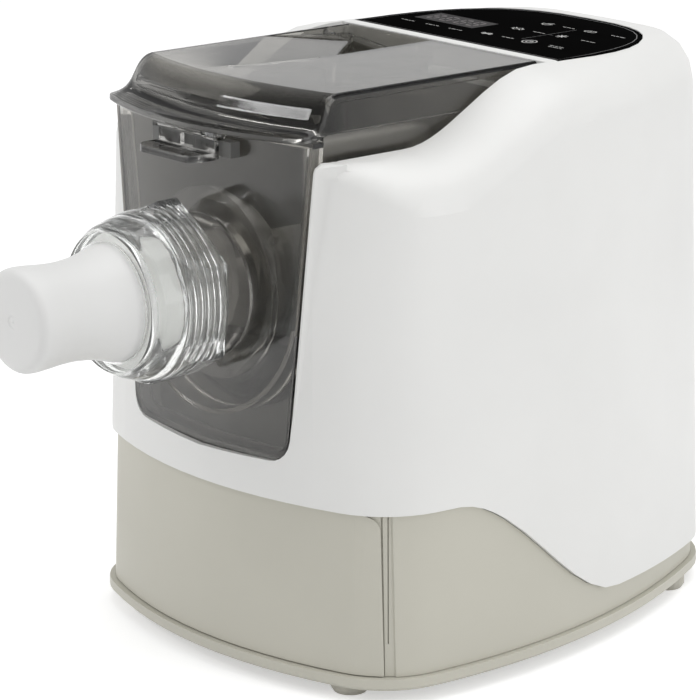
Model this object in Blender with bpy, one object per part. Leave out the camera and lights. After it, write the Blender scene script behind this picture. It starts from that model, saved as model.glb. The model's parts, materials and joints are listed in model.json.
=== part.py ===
"""Electric pasta maker: a table-top mixer and extruder with a smoky bowl, lid and front plate,
a clear lock nut with its die and cap, a white shell with a control panel, and a storage drawer.

Metres, +Z up, the front faces -Y. Everything is drawn from the middle of the bowl's back wall
and hung on one empty, which puts the origin under the middle of the overall box.
"""
import math

import bmesh
import bpy
from mathutils import Matrix, Vector
from mathutils.geometry import convex_hull_2d

# Walls and clearances
WALL = 0.003
THIN = 0.0025
GAP = 0.0003
SLIP = 0.0006
OVERRUN = 0.010
WELD = 1e-6

# Mixing bowl and the well that holds it
BOWL_R = 0.0640
BOWL_FLARE = 0.0095
BOWL_WALL = 0.0025
BOWL_LENGTH = 0.1370
BOWL_LIFT = 0.0325
BOWL_SIDE_GAP = 0.0023
BOWL_REAR_GAP = 0.0016
WELL_REAR_Y = 0.0386
SEAL_R = 0.0105
SEAL_T = 0.0016
BOWL_STEPS = 20
CRADLE_FRONT = 0.010
CRADLE_STEP = 0.090

# Drive line
SHAFT_R = 0.006
SHAFT_HEX_R = 0.0050
TOOTH_MODULE = 0.0025
PRESSURE_ANGLE = math.radians(25)
BACKLASH = 0.0005
ADDENDUM_SHARE = 0.8
DEDENDUM_SHARE = 1.15
FLANK_SHARES = (0, 0.5, 1)
PINION_TEETH = 9
IDLER_TEETH = 28
OUTPUT_TEETH = 36
GEAR_T = 0.009
GEAR_STEP = 0.005
GEAR_TAIL = 0.0030
IDLER_PIN_R = 0.0032
BEARING_T = 0.0070
BEARING_R = 0.0130
GEARBOX_WALL = 0.0025
GEARBOX_MARGIN = 0.0040

# Motor
MOTOR_R = 0.0290
MOTOR_LENGTH = 0.0620
MOTOR_WALL = 0.0025
MOTOR_SHAFT_R = 0.0030
MOTOR_BOSS_R = 0.0080
FAN_R = 0.0270
FAN_T = 0.0080
FAN_BLADES = 6
FAN_TILT = math.radians(55)

# Body outline, seen from above, and the room that it leaves round the bowl and the motor
SIDE_ROOM = 0.0397
FRONT_ROOM = 0.0182
REAR_ROOM = 0.0179
FRONT_DEPTH = 0.0940
FRONT_SAG = 0.0339
SIDE_FRONT_SAG = 0.0147
SIDE_REAR_SAG = 0.0665
REAR_SAG = 0.0183
FRONT_CORNER_R = 0.041
REAR_CORNER_R = 0.050
DRAFT_SHARE = 0.025
SHELL_PROUD = 0.003

# Heights
FLOOR_GAP = 0.007
PLATE_T = 0.006
PLATE_PROUD = 0.003
PLATE_ROUND = 0.0015
SEAM_FRONT_Z = 0.0935
SEAM_REAR_Z = 0.0270
SEAM_TAIL_DROP = 0.0045
SEAM_START = 0.0308
SEAM_END = 0.0842
HEAD_ROOM = 0.0183
LID_RISE = 0.0177
SHOULDER_RISE = 0.0303
RISE_START = 0.0936
RISE_END = 0.0056
SHOULDER_WIDE = 0.032
SHOULDER_NARROW = 0.021
SHOULDER_DROP = 0.024
EDGE_ROUND = 0.006
ROUND_START = 0.008
ROUND_END = 0.028

# Window in the front wall
WINDOW_TAPER = 0.0166
WINDOW_BELOW_BOWL = 0.0155
WINDOW_TOP_DROP = 0.0053
WINDOW_CORNER_R = 0.0125
WINDOW_SAG = 0.0018
BORDER_LAP = 0.0010
BORDER_LIP = 0.0012
BORDER_REACH = 0.0100
BORDER_DEPTH = 0.0114
BORDER_ROUND = 0.0040

# Posts, slots and holes of the upper housing
SCREW_R = 0.0016
POST_R = 0.0055
POST_RISE = 0.0415
POST_FRONT_STEP = 0.0143
POST_REAR_STEP = 0.0683
SLOT_COUNT = 7
SLOT_PITCH = 0.0105
SLOT_WIDE = 0.0035
SLOT_BELOW = 0.0275
SLOT_ABOVE = 0.0345
GLAND_X = -0.040
GLAND_LIFT = 0.020
GLAND_R = 0.0075
GLAND_FLANGE_R = 0.0105
PLUNGER_R = 0.0020

# Front plate and catch
PLATE_BACK = 0.003
PLATE_SAG = 0.0080
CATCH_HALF = 0.030
CATCH_DROP = 0.0032
CATCH_HIGH = 0.0075

# Barrel
BARREL_BORE_R = 0.0275
BARREL_SKIN = 0.0065
BARREL_STEP = 0.0060
BARREL_FLANGE = 0.0070
BARREL_FLANGE_T = 0.004
BARREL_REACH = 0.0380
THREAD_DEPTH = 0.0014
THREAD_PITCH = 0.0056
THREAD_RINGS = 3

# Lock nut, die and cap
NUT_AHEAD = 0.0128
NUT_LENGTH = 0.0400
NUT_THREAD_GAP = 0.0010
NUT_WALL = 0.0046
NUT_LOBE = 0.0047
NUT_LOBES = 6
NUT_LOBE_TURN = math.radians(26)
NUT_LOBE_LENGTH = 0.023
NUT_THREAD = 0.0210
NUT_LIP_T = 0.0035
NUT_MOUTH_STEP = 0.0045
NUT_RIM = 0.0012
DIE_R = 0.0335
DIE_T = 0.0140
DIE_HOLE_R = 0.0026
DIE_HOLES = 8
DIE_RING_R = 0.0165
CAP_LENGTH = 0.0550
CAP_BULB_R = 0.0250
CAP_WAIST_R = 0.0235
CAP_FOOT_GAP = 0.0008
CAP_BORE_R = 0.0210
CAP_SHAPE_SHARES = (
    (0.0, 0, 0.0), (0.10, 0, 0.0), (0.20, 0, 0.35), (0.34, 0, 0.80), (0.50, 1, 0.0),
    (0.64, 1, 0.40), (0.76, 1, 0.95), (0.86, 2, 0.0), (0.94, 2, 0.14), (0.985, 2, 0.45),
)

# Mixing auger
SCREW_CORE_R = 0.009
SCREW_CLEARANCE = 0.0013
SCREW_FRONT_STEP = 0.0030
SCREW_REAR_STEP = 0.0060
FLIGHT_TURNS = 3
FLIGHT_STEPS = 14
FLIGHT_T = 0.0040
HUB_R = 0.0115
PADDLE_CLEARANCE = 0.0050
PADDLE_T = 0.0060
PADDLE_FRONT_STEP = 0.0140
PADDLE_REAR_STEP = 0.0085
SOCKET_DEPTH = 0.0120

# Lid
LID_LAP = 0.0005
LID_FLARE = 0.0033
LID_WALL = 0.0025
LID_REAR_GAP = 0.0014
LID_BEND = 0.0310
LID_BEND_SAG = 0.0105
LIP_AHEAD = 0.0128
LIP_TIP_SAG = 0.0165
LIP_TIP_T = 0.0026
LIP_CORNER_R = 0.0060
LIP_SHAPE_SHARES = (
    (0.00, 1.00), (0.14, 0.965), (0.26, 0.87), (0.36, 0.72), (0.44, 0.50), (0.52, 0.28),
    (0.64, 0.12), (0.82, 0.03), (1.00, 0.0),
)
LID_SLICE_SHARES = (0, 0.25, 0.50, 0.72, 0.88, 0.93, 0.965, 0.99, 1)
LID_PIVOT_BACK = 0.0112
LID_PIVOT_DROP = 0.0050
LID_PIN_R = 0.0016
TROUGH_EDGE_X = -0.0045
TROUGH_SIDE = 0.0027
TROUGH_DEPTH = 0.0060
FOLD_BACK = 0.0572
FUNNEL_SIDE = 0.0080
FUNNEL_BACK = 0.0052
FUNNEL_LENGTH = 0.0580
FUNNEL_TIP = 0.0040
FUNNEL_WALL = 0.0020
FUNNEL_BARS = 4
FEED_BAR = 0.0030
SLIT_FRONT_X = -0.0150
SLIT_BACK = 0.0150
SLIT_W = 0.0026

# Latch under the lip
LATCH_HALF = 0.0215
LATCH_PIN_BACK = 0.0092
LATCH_PIN_DROP = 0.0020
LATCH_PIN_R = 0.0012
LATCH_T = 0.0024
LATCH_LENGTH = 0.0122
TAB_T = 0.0032
TAB_REACH = 0.0154
TAB_CORNER_R = 0.006
HOLE_HALF = 0.0048
SPRING_WIRE = 0.0004
SPRING_TURNS = 4
SPRING_STEPS = 8
SPRING_LENGTH = 0.0060

# Drawer and the frame round it
DRAWER_EDGE = 0.0282
DRAWER_CORNER_R = 0.0070
DRAWER_CORNER_TURN = math.radians(72)
DRAWER_WALL = 0.0025
DRAWER_BACK = 0.0166
DRAWER_SIDE_GAP = 0.0025
DRAWER_HEADROOM = 0.0051
FRAME_INSET = 0.0255
FRAME_LEAD = 0.0040
FRAME_T = 0.0025
DECK_DROP = 0.0009
GRIP_STRIP = 0.0045
GRIP_SINK = 0.0010

# Control panel
PANEL_BACK = 0.0074
PANEL_INSET = 0.0420
PANEL_REAR_ROOM = 0.0351
PANEL_T = 0.0020
PANEL_POWER = 2.8
PANEL_STEPS = 20
PANEL_LEDGE = 0.0030
BOARD_T = 0.0016
BOARD_INSET = 0.008
DISPLAY_X = -0.036
DISPLAY_BACK = 0.0390
DISPLAY_WIDE = 0.058
DISPLAY_LONG = 0.018
DISPLAY_TALL = 0.006

# Lid switch and power board
SWITCH_INSET = 0.0258
SWITCH_DROP = 0.0095
SWITCH_WIDE = 0.014
SWITCH_LONG = 0.012
SWITCH_TALL = 0.010
SWITCH_ABOVE_SHARE = 0.3
PLUNGER_TRAVEL = 0.0020
POWER_BOARD_ROOM = 0.0290
POWER_BOARD_STEP = 0.0184
POWER_BOARD_LONG = 0.058
POWER_BOARD_TALL = 0.0917
COMPONENT_SHARES = ((0.25, 0.30, 0.36), (0.72, 0.28, 0.28), (0.30, 0.75, 0.26), (0.74, 0.72, 0.34))
RAIL_T = 0.0020

# Feet
FOOT_R = 0.0095
FOOT_INSET = 0.0376
FOOT_FRONT_STEP = 0.0280
FOOT_REAR_INSET = 0.0455
FOOT_REAR_STEP = 0.0403
FOOT_CHAMFER = 0.0015

# Values that follow, from the bowl outwards
PLATE_TOP_Z = FLOOR_GAP + PLATE_T
DECK_Z = SEAM_FRONT_Z - DECK_DROP
AXIS_Z = SEAM_FRONT_Z + BOWL_LIFT + BOWL_R
LID_SKIRT_Z = AXIS_Z + BOWL_R + HEAD_ROOM
BOWL_RIM_Z = LID_SKIRT_Z - GAP
TOP_Z = LID_SKIRT_Z + LID_RISE
SHOULDER_FRONT_Z = TOP_Z - SHOULDER_RISE
WINDOW_TOP_Z = LID_SKIRT_Z - WINDOW_TOP_DROP
WINDOW_LOW_Z = AXIS_Z - BOWL_R - WINDOW_BELOW_BOWL
IDLER_Z = AXIS_Z - TOOTH_MODULE * (OUTPUT_TEETH + PINION_TEETH) / 2
MOTOR_Z = IDLER_Z - TOOTH_MODULE * (IDLER_TEETH + PINION_TEETH) / 2
DRAWER_RIM_Z = DECK_Z - FRAME_T - DRAWER_HEADROOM
POST_TOP_Z = SEAM_FRONT_Z + POST_RISE
GLAND_Z = SEAM_REAR_Z + GLAND_LIFT
SWITCH_Z = TOP_Z - SWITCH_DROP

BOWL_TOP_HALF = BOWL_R + BOWL_FLARE
WELL_HALF = BOWL_TOP_HALF + BOWL_SIDE_GAP
LID_HALF = BOWL_TOP_HALF + LID_LAP
WINDOW_TOP_HALF = WELL_HALF
WINDOW_LOW_HALF = WINDOW_TOP_HALF - WINDOW_TAPER
HALF_WIDTH = WELL_HALF + WALL + SIDE_ROOM
FRAME_HALF = HALF_WIDTH - FRAME_INSET
DRAWER_HALF = FRAME_HALF - FRAME_T - DRAWER_SIDE_GAP
PANEL_HALF = HALF_WIDTH - PANEL_INSET
FOOT_X = HALF_WIDTH - FOOT_INSET
FOOT_REAR_X = HALF_WIDTH - FOOT_REAR_INSET
SWITCH_X = WELL_HALF - SWITCH_INSET
POWER_BOARD_X = -(MOTOR_R + POWER_BOARD_ROOM)

BOWL_REAR_Y = WELL_REAR_Y - BOWL_REAR_GAP
WELL_FRONT_Y = BOWL_REAR_Y - BOWL_LENGTH
FRONT_Y = WELL_FRONT_Y - FRONT_ROOM
MIDDLE_Y = FRONT_Y + FRONT_DEPTH
BULKHEAD_Y = WELL_REAR_Y + WALL
GEAR_START_Y = BULKHEAD_Y + GEARBOX_WALL + BEARING_T + 3 * GAP
WHEEL_START_Y = GEAR_START_Y + GEAR_T + GEAR_STEP
GEAR_END_Y = WHEEL_START_Y + GEAR_T
COVER_Y = GEAR_END_Y + GEAR_TAIL + 2 * GAP + GEARBOX_WALL
MOTOR_START_Y = COVER_Y + GAP
MOTOR_END_Y = MOTOR_START_Y + MOTOR_LENGTH
MOTOR_TAIL_Y = MOTOR_END_Y + MOTOR_WALL + FAN_T + THIN
REAR_DEPTH = MOTOR_TAIL_Y + REAR_ROOM - MIDDLE_Y
REAR_Y = MIDDLE_Y + REAR_DEPTH - DRAFT_SHARE * SEAM_REAR_Z + SHELL_PROUD
RIM_REAR_Y = MIDDLE_Y + REAR_DEPTH - DRAFT_SHARE * (FLOOR_GAP + PLATE_ROUND) + PLATE_PROUD
SEAM_START_Y = MIDDLE_Y - SEAM_START
SEAM_END_Y = MIDDLE_Y + SEAM_END
RISE_START_Y = WELL_REAR_Y - RISE_START
RISE_END_Y = WELL_REAR_Y - RISE_END
ROUND_START_Y = WELL_FRONT_Y - ROUND_START
ROUND_END_Y = WELL_FRONT_Y + ROUND_END
PANEL_FRONT_Y = WELL_REAR_Y + PANEL_BACK
PANEL_LENGTH = REAR_Y - PANEL_REAR_ROOM - PANEL_FRONT_Y
DISPLAY_Y = PANEL_FRONT_Y + DISPLAY_BACK
POST_FRONT_Y = WELL_REAR_Y - POST_FRONT_STEP
POST_REAR_Y = REAR_Y - POST_REAR_STEP
FOOT_FRONT_Y = FRONT_Y + FOOT_FRONT_STEP
FOOT_REAR_Y = MIDDLE_Y + REAR_DEPTH - FOOT_REAR_STEP
DRAWER_EDGE_Y = FRONT_Y + DRAWER_EDGE
DRAWER_REAR_Y = WELL_REAR_Y - DRAWER_BACK
FRAME_FRONT_Y = DRAWER_EDGE_Y + FRAME_LEAD
FRAME_REAR_Y = DRAWER_REAR_Y + FRAME_T + DRAWER_SIDE_GAP

PLATE_MIDDLE_Z = (WINDOW_LOW_Z + LID_SKIRT_Z) / 2
PLATE_FACE_Y = FRONT_Y + DRAFT_SHARE * PLATE_MIDDLE_Z - SHELL_PROUD + SLIP
PLATE_TOP_EDGE_Z = LID_SKIRT_Z - LIP_TIP_T - GAP
BARREL_R = BARREL_BORE_R + BARREL_SKIN
BARREL_TUBE_R = BARREL_R + BARREL_STEP
BARREL_FLANGE_R = BARREL_TUBE_R + BARREL_FLANGE
THREAD_R = BARREL_R + THREAD_DEPTH
BARREL_REAR_Y = WELL_FRONT_Y + BARREL_REACH
NUT_REAR_Y = FRONT_Y - NUT_AHEAD
NUT_FRONT_Y = NUT_REAR_Y - NUT_LENGTH
BARREL_TIP_Y = NUT_REAR_Y - NUT_THREAD
NUT_BORE_R = THREAD_R + NUT_THREAD_GAP
NUT_R = NUT_BORE_R + NUT_WALL
NUT_LOBE_R = NUT_R + NUT_LOBE
NUT_FRONT_R = DIE_R + NUT_RIM
NUT_MOUTH_R = DIE_R - NUT_MOUTH_STEP
CAP_FOOT_R = NUT_MOUTH_R - CAP_FOOT_GAP
CAP_RADII = (CAP_FOOT_R, CAP_WAIST_R, CAP_BULB_R, 0)
CAP_TIP_Y = NUT_FRONT_Y - CAP_LENGTH
SHIFT_Y = -(CAP_TIP_Y + RIM_REAR_Y) / 2
SCREW_FLIGHT_R = BARREL_BORE_R - SCREW_CLEARANCE
SCREW_FRONT_Y = BARREL_TIP_Y + SCREW_FRONT_STEP
SCREW_REAR_Y = BARREL_REAR_Y + SCREW_REAR_STEP
FLIGHT_PITCH = (SCREW_REAR_Y - SCREW_FRONT_Y - FLIGHT_T) / FLIGHT_TURNS
PADDLE_R = BOWL_R - PADDLE_CLEARANCE
PADDLE_FRONT_Y = BARREL_REAR_Y + PADDLE_FRONT_STEP
PADDLE_REAR_Y = BOWL_REAR_Y - BOWL_WALL - PADDLE_REAR_STEP

LID_REAR_Y = WELL_REAR_Y - LID_REAR_GAP
LID_PIVOT_Y = LID_REAR_Y - LID_PIVOT_BACK
LID_PIVOT_Z = TOP_Z - LID_PIVOT_DROP
LID_HEEL_R = LID_PIVOT_Z - LID_SKIRT_Z
LIP_TIP_Y = FRONT_Y - LIP_AHEAD
LID_BEND_Y = LIP_TIP_Y + LID_BEND
TROUGH_LEFT_X = TROUGH_SIDE + LID_FLARE - LID_HALF
FOLD_LEFT_Y = LID_REAR_Y - FOLD_BACK
FUNNEL_LEFT_X = TROUGH_LEFT_X + FUNNEL_SIDE
FUNNEL_REAR_Y = LID_REAR_Y - FUNNEL_BACK
FUNNEL_FRONT_Y = FUNNEL_REAR_Y - FUNNEL_LENGTH
SLIT_FRONT_Y = LID_BEND_Y + SLIT_BACK
LATCH_PIN_Y = LIP_TIP_Y + LATCH_PIN_BACK
LATCH_PIN_Z = LID_SKIRT_Z - LIP_TIP_T - LATCH_PIN_DROP
LATCH_LOW_Z = LATCH_PIN_Z - LATCH_LENGTH
TAB_FRONT_Y = LATCH_PIN_Y - TAB_REACH
CATCH_TOP_Z = LATCH_PIN_Z - CATCH_DROP


def clear_scene():
    for obj in list(bpy.data.objects):
        bpy.data.objects.remove(obj, do_unlink=True)


clear_scene()
PARTS = bpy.data.collections.new("pasta_maker")
CUTTERS = bpy.data.collections.new("cutters")
for group in (PARTS, CUTTERS):
    bpy.context.scene.collection.children.link(group)


def material(name, colour, roughness, metallic=0.0, alpha=1.0):
    found = bpy.data.materials.get(name)
    if found:
        return found
    made = bpy.data.materials.new(name)
    made.use_nodes = True
    shader = made.node_tree.nodes["Principled BSDF"]
    shader.inputs["Base Color"].default_value = (*colour, 1)
    shader.inputs["Roughness"].default_value = roughness
    shader.inputs["Metallic"].default_value = metallic
    shader.inputs["Alpha"].default_value = alpha
    made.diffuse_color = (*colour, alpha)
    return made


WHITE = material("white_shell", (0.83, 0.83, 0.81), 0.42)
BEIGE = material("warm_grey_base", (0.47, 0.45, 0.38), 0.45)
SMOKE = material("smoky_plastic", (0.17, 0.165, 0.155), 0.12, alpha=0.55)
CLEAR = material("clear_plastic", (0.85, 0.86, 0.86), 0.05, alpha=0.35)
FROST = material("frosted_plastic", (0.90, 0.90, 0.89), 0.5)
PALE = material("die_plastic", (0.86, 0.85, 0.82), 0.4)
DARK = material("dark_plastic", (0.05, 0.05, 0.05), 0.35)
PANEL = material("panel_glass", (0.004, 0.004, 0.005), 0.06)
FRAME = material("frame_plastic", (0.30, 0.30, 0.29), 0.5)
GEAR = material("gear_nylon", (0.78, 0.76, 0.70), 0.45)
STEEL = material("steel", (0.55, 0.55, 0.56), 0.3, 1.0)
CAN = material("motor_steel", (0.42, 0.42, 0.43), 0.38, 1.0)
RUBBER = material("rubber", (0.035, 0.035, 0.035), 0.8)
SEAL = material("silicone", (0.62, 0.60, 0.56), 0.6)
BOARD = material("circuit_board", (0.03, 0.16, 0.08), 0.4)

machine = bpy.data.objects.new("machine", None)
machine.location = (0, SHIFT_Y, 0)
PARTS.objects.link(machine)


def joint_empty(name, y, z):
    made = bpy.data.objects.new(name, None)
    made.location = (0, y, z)
    made.parent = machine
    PARTS.objects.link(made)
    return made


def finish(name, mesh_maker, paint, joint=None):
    """Make the named piece from a bmesh, and hang it on the machine or on its joint's empty."""
    bmesh.ops.recalc_face_normals(mesh_maker, faces=mesh_maker.faces)
    if mesh_maker.calc_volume(signed=True) < 0:
        bmesh.ops.reverse_faces(mesh_maker, faces=mesh_maker.faces)
    mesh = bpy.data.meshes.new(name)
    mesh_maker.to_mesh(mesh)
    mesh_maker.free()
    obj = bpy.data.objects.new(name, mesh)
    if paint is None:
        CUTTERS.objects.link(obj)
        obj.hide_render = True
        obj.display_type = "WIRE"
    else:
        PARTS.objects.link(obj)
        mesh.materials.append(paint)
    obj.parent = joint or machine
    if joint:
        obj.matrix_parent_inverse = Matrix.Translation(-joint.location)
    return obj


def combine(target, other, operation):
    step = target.modifiers.new(other.name, "BOOLEAN")
    step.object = other
    step.operation = operation
    step.solver = "EXACT"
    return target


def cut(target, *others):
    for other in others:
        combine(target, other, "DIFFERENCE")
    return target


def fuse(target, *others):
    for other in others:
        combine(target, other, "UNION")
    return target


def keep(target, other):
    return combine(target, other, "INTERSECT")


def smooth(obj, angle=math.radians(32)):
    obj.data.shade_smooth()
    obj.data.set_sharp_from_angle(angle=angle)
    return obj


def box(name, low, high, paint=None, joint=None):
    made = bmesh.new()
    bmesh.ops.create_cube(made, size=1)
    size = [b - a for a, b in zip(low, high)]
    middle = [(a + b) / 2 for a, b in zip(low, high)]
    bmesh.ops.scale(made, vec=size, verts=made.verts)
    bmesh.ops.translate(made, vec=middle, verts=made.verts)
    return finish(name, made, paint, joint)


def boxes(name, pairs, paint=None, joint=None):
    """Several separate boxes in one object, such as a row of slots."""
    made = bmesh.new()
    for low, high in pairs:
        new = bmesh.ops.create_cube(made, size=1)["verts"]
        bmesh.ops.scale(made, vec=[b - a for a, b in zip(low, high)], verts=new)
        bmesh.ops.translate(made, vec=[(a + b) / 2 for a, b in zip(low, high)], verts=new)
    return finish(name, made, paint, joint)


TURN_TO = {
    "x": Matrix.Rotation(math.pi / 2, 4, "Y"),
    "y": Matrix.Rotation(-math.pi / 2, 4, "X"),
    "z": Matrix.Identity(4),
}


def add_rod(made, axis, centre, low, high, radius, sides, tip_radius=None):
    """A cylinder or cone from low to high along the axis, through the centre."""
    place = Vector(centre)
    index = "xyz".index(axis)
    place[index] = (low + high) / 2
    end = radius if tip_radius is None else tip_radius
    bmesh.ops.create_cone(
        made, cap_ends=True, segments=sides, radius1=radius, radius2=end, depth=high - low,
        matrix=Matrix.Translation(place) @ TURN_TO[axis],
    )


def rod(name, axis, centre, low, high, radius, sides=24, paint=None, joint=None):
    made = bmesh.new()
    add_rod(made, axis, centre, low, high, radius, sides)
    return smooth(finish(name, made, paint, joint))


def rods(name, axis, centres, low, high, radius, sides=12, paint=None, joint=None):
    made = bmesh.new()
    for centre in centres:
        add_rod(made, axis, centre, low, high, radius, sides)
    return smooth(finish(name, made, paint, joint))


def turned(name, profile, z, paint=None, joint=None, sides=36, x=0.0):
    """Turn (radius, y) points, given from the back to the front, about the Y axis at x and z."""
    made = bmesh.new()
    rings = []
    for radius, y in profile:
        if radius == 0:
            rings.append([made.verts.new((x, y, z))])
            continue
        turn = [2 * math.pi * i / sides for i in range(sides)]
        ring = [(x + radius * math.cos(a), y, z + radius * math.sin(a)) for a in turn]
        rings.append([made.verts.new(point) for point in ring])
    closed = profile[0][0] != 0
    pairs = list(zip(rings, rings[1:]))
    if closed:
        pairs.append((rings[-1], rings[0]))
    for first, second in pairs:
        for i in range(sides):
            j = (i + 1) % sides
            if len(first) == 1:
                made.faces.new((first[0], second[i], second[j]))
            elif len(second) == 1:
                made.faces.new((first[i], second[0], first[j]))
            else:
                made.faces.new((first[i], second[i], second[j], first[j]))
    return smooth(finish(name, made, paint, joint))


def upright_copies(name, profile, places, paint, sides):
    """Turn (radius, z) points, from the top down, into one mesh that each numbered copy shares."""
    first = turned("%s_1" % name, profile, 0, paint, sides=sides)
    copies = [first] + [bpy.data.objects.new("%s_%d" % (name, i), first.data)
                        for i in range(2, len(places) + 1)]
    for copy, place in zip(copies, places):
        copy.location = place
        copy.rotation_euler = (math.pi / 2, 0, 0)
        if copy is not first:
            PARTS.objects.link(copy)
            copy.parent = machine


def outline_solid(name, points, axis, low, high, paint=None, joint=None):
    """Extrude a flat outline, as a filled 2D curve made into a mesh.
    Its points are (x, z) for axis y, (x, y) for axis z and (y, z) for axis x."""
    curve = bpy.data.curves.new(name, "CURVE")
    curve.dimensions = "2D"
    curve.fill_mode = "BOTH"
    curve.extrude = (high - low) / 2
    line = curve.splines.new("POLY")
    line.points.add(len(points) - 1)
    for spot, (across, up) in zip(line.points, points):
        spot.co = (across, up, 0, 1)
    line.use_cyclic_u = True
    flat = bpy.data.objects.new(name + "_outline", curve)
    bpy.context.scene.collection.objects.link(flat)
    graph = bpy.context.evaluated_depsgraph_get()
    mesh = bpy.data.meshes.new_from_object(flat.evaluated_get(graph))
    bpy.data.objects.remove(flat, do_unlink=True)
    made = bmesh.new()
    made.from_mesh(mesh)
    bpy.data.meshes.remove(mesh)
    bmesh.ops.remove_doubles(made, verts=made.verts, dist=WELD)
    middle = (low + high) / 2
    for vert in made.verts:
        across, up, depth = vert.co
        if axis == "y":
            vert.co = (across, middle + depth, up)
        elif axis == "x":
            vert.co = (middle + depth, across, up)
        else:
            vert.co = (across, up, middle + depth)
    return finish(name, made, paint, joint)


def loft(name, rings, paint=None, joint=None):
    """Skin a stack of rings that are mirrored about x = 0 and start at the front centre.
    Each end is closed by strips across the mirror plane, so it may rise and fall along y."""
    made = bmesh.new()
    count = len(rings[0])
    stack = [[made.verts.new(point) for point in ring] for ring in rings]
    for low, high in zip(stack, stack[1:]):
        for i in range(count):
            j = (i + 1) % count
            made.faces.new((low[i], low[j], high[j], high[i]))
    for ring in (stack[0], stack[-1]):
        half = count // 2
        made.faces.new((ring[0], ring[1], ring[count - 1]))
        for i in range(1, half - 1):
            made.faces.new((ring[i], ring[i + 1], ring[count - i - 1], ring[count - i]))
        made.faces.new((ring[half - 1], ring[half], ring[half + 1]))
    return smooth(finish(name, made, paint, joint), math.radians(40))


def skin(name, rings, paint=None, joint=None):
    """Skin a row of equal outlines, with one flat cap at each end."""
    made = bmesh.new()
    count = len(rings[0])
    row = [[made.verts.new(point) for point in ring] for ring in rings]
    for first, second in zip(row, row[1:]):
        for i in range(count):
            j = (i + 1) % count
            made.faces.new((first[i], first[j], second[j], second[i]))
    made.faces.new(row[0])
    made.faces.new(row[-1])
    return smooth(finish(name, made, paint, joint))


def ease(start, end, value):
    """0 before start, 1 after end, and an S between them."""
    t = min(1, max(0, (value - start) / (end - start)))
    return t * t * (3 - 2 * t)


def arc(centre, radius, start, end, steps):
    turns = [start + (end - start) * i / steps for i in range(steps + 1)]
    return [(centre[0] + radius * math.cos(a), centre[1] + radius * math.sin(a)) for a in turns]


def half_outline(depth, end_sag, side_sag, corner, half_width, inset, end_steps, side_steps):
    """One quarter of the body's outline, from the middle of its front or back to its side.
    Bulged lines, drawn a corner radius inside, are pushed out by what is left of it."""
    wide = half_width - corner
    deep = depth - corner
    across = wide
    along = deep
    for _ in range(30):
        along = deep - end_sag * (across / half_width) ** 2
        across = wide - side_sag * (along / depth) ** 2
    push = corner - inset
    points = []
    for i in range(end_steps + 1):
        x = across * i / end_steps
        slope = 2 * end_sag * x / half_width ** 2
        length = math.hypot(1, slope)
        v = deep - end_sag * (x / half_width) ** 2
        points.append((x + push * slope / length, v + push / length))
    start = math.atan2(1, 2 * end_sag * across / half_width ** 2)
    end = math.atan2(2 * side_sag * along / depth ** 2, 1)
    corner_steps = 7
    points += arc((across, along), push, start, end, corner_steps)[1:-1]
    for i in range(side_steps):
        v = along * (1 - i / side_steps)
        slope = 2 * side_sag * v / depth ** 2
        length = math.hypot(1, slope)
        x = wide - side_sag * (v / depth) ** 2
        points.append((x + push / length, v + push * slope / length))
    return points


def body_outline(z, inset=0.0):
    """The body's closed outline at height z, drawn in by inset, as (x, y) from the front centre."""
    shrink = DRAFT_SHARE * z
    front = half_outline(FRONT_DEPTH - shrink, FRONT_SAG, SIDE_FRONT_SAG, FRONT_CORNER_R,
                         HALF_WIDTH - shrink, inset, 6, 6)
    rear = half_outline(REAR_DEPTH - shrink, REAR_SAG, SIDE_REAR_SAG, REAR_CORNER_R,
                        HALF_WIDTH - shrink, inset, 4, 14)
    side = HALF_WIDTH - shrink - inset
    right = [(x, MIDDLE_Y - v) for x, v in front]
    right.append((side, MIDDLE_Y))
    right += [(x, MIDDLE_Y + v) for x, v in reversed(rear)]
    left = [(-x, y) for x, y in reversed(right[1:-1])]
    return right + left


def body_ring(height, inset=0.0):
    """A ring of the body at the height that a function of y gives, or at one height."""
    level = height if callable(height) else (lambda y: height)
    ring = []
    guess = body_outline(level(MIDDLE_Y), inset)
    for i, (_, y) in enumerate(guess):
        z = level(y)
        x, y = body_outline(z, inset)[i] if callable(height) else guess[i]
        ring.append((x, y, z))
    return ring


def seam_z(y):
    fall = ease(SEAM_START_Y, SEAM_END_Y, y) * (SEAM_FRONT_Z - SEAM_REAR_Z)
    tail = max(0, (y - SEAM_END_Y) / (REAR_Y - SEAM_END_Y)) * SEAM_TAIL_DROP
    return SEAM_FRONT_Z - fall - tail


def top_z(y):
    return SHOULDER_FRONT_Z + ease(RISE_START_Y, RISE_END_Y, y) * (TOP_Z - SHOULDER_FRONT_Z)


def shoulder_w(y):
    narrowed = ease(RISE_END_Y, PANEL_FRONT_Y + PANEL_LENGTH, y)
    wide = SHOULDER_WIDE + narrowed * (SHOULDER_NARROW - SHOULDER_WIDE)
    return EDGE_ROUND + ease(ROUND_START_Y, ROUND_END_Y, y) * (wide - EDGE_ROUND)


def shoulder_drop(y):
    return EDGE_ROUND + ease(ROUND_START_Y, ROUND_END_Y, y) * (SHOULDER_DROP - EDGE_ROUND)


def shoulder_ring(turn, wall=0.0, proud=SHELL_PROUD):
    """A ring of the rounded shoulder, at a turn of 0 on the wall and a quarter turn on top."""
    lift = math.sin(turn)
    draw_in = 1 - math.cos(turn)
    ring = []
    plain = body_outline(SHOULDER_FRONT_Z, wall - proud)
    for i, (_, y) in enumerate(plain):
        drop = shoulder_drop(y)
        z = top_z(y) - drop + lift * (drop - wall)
        inset = wall - proud + draw_in * (shoulder_w(y) - wall)
        x, y = body_outline(z, inset)[i]
        ring.append((x, y, z))
    return ring


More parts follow.
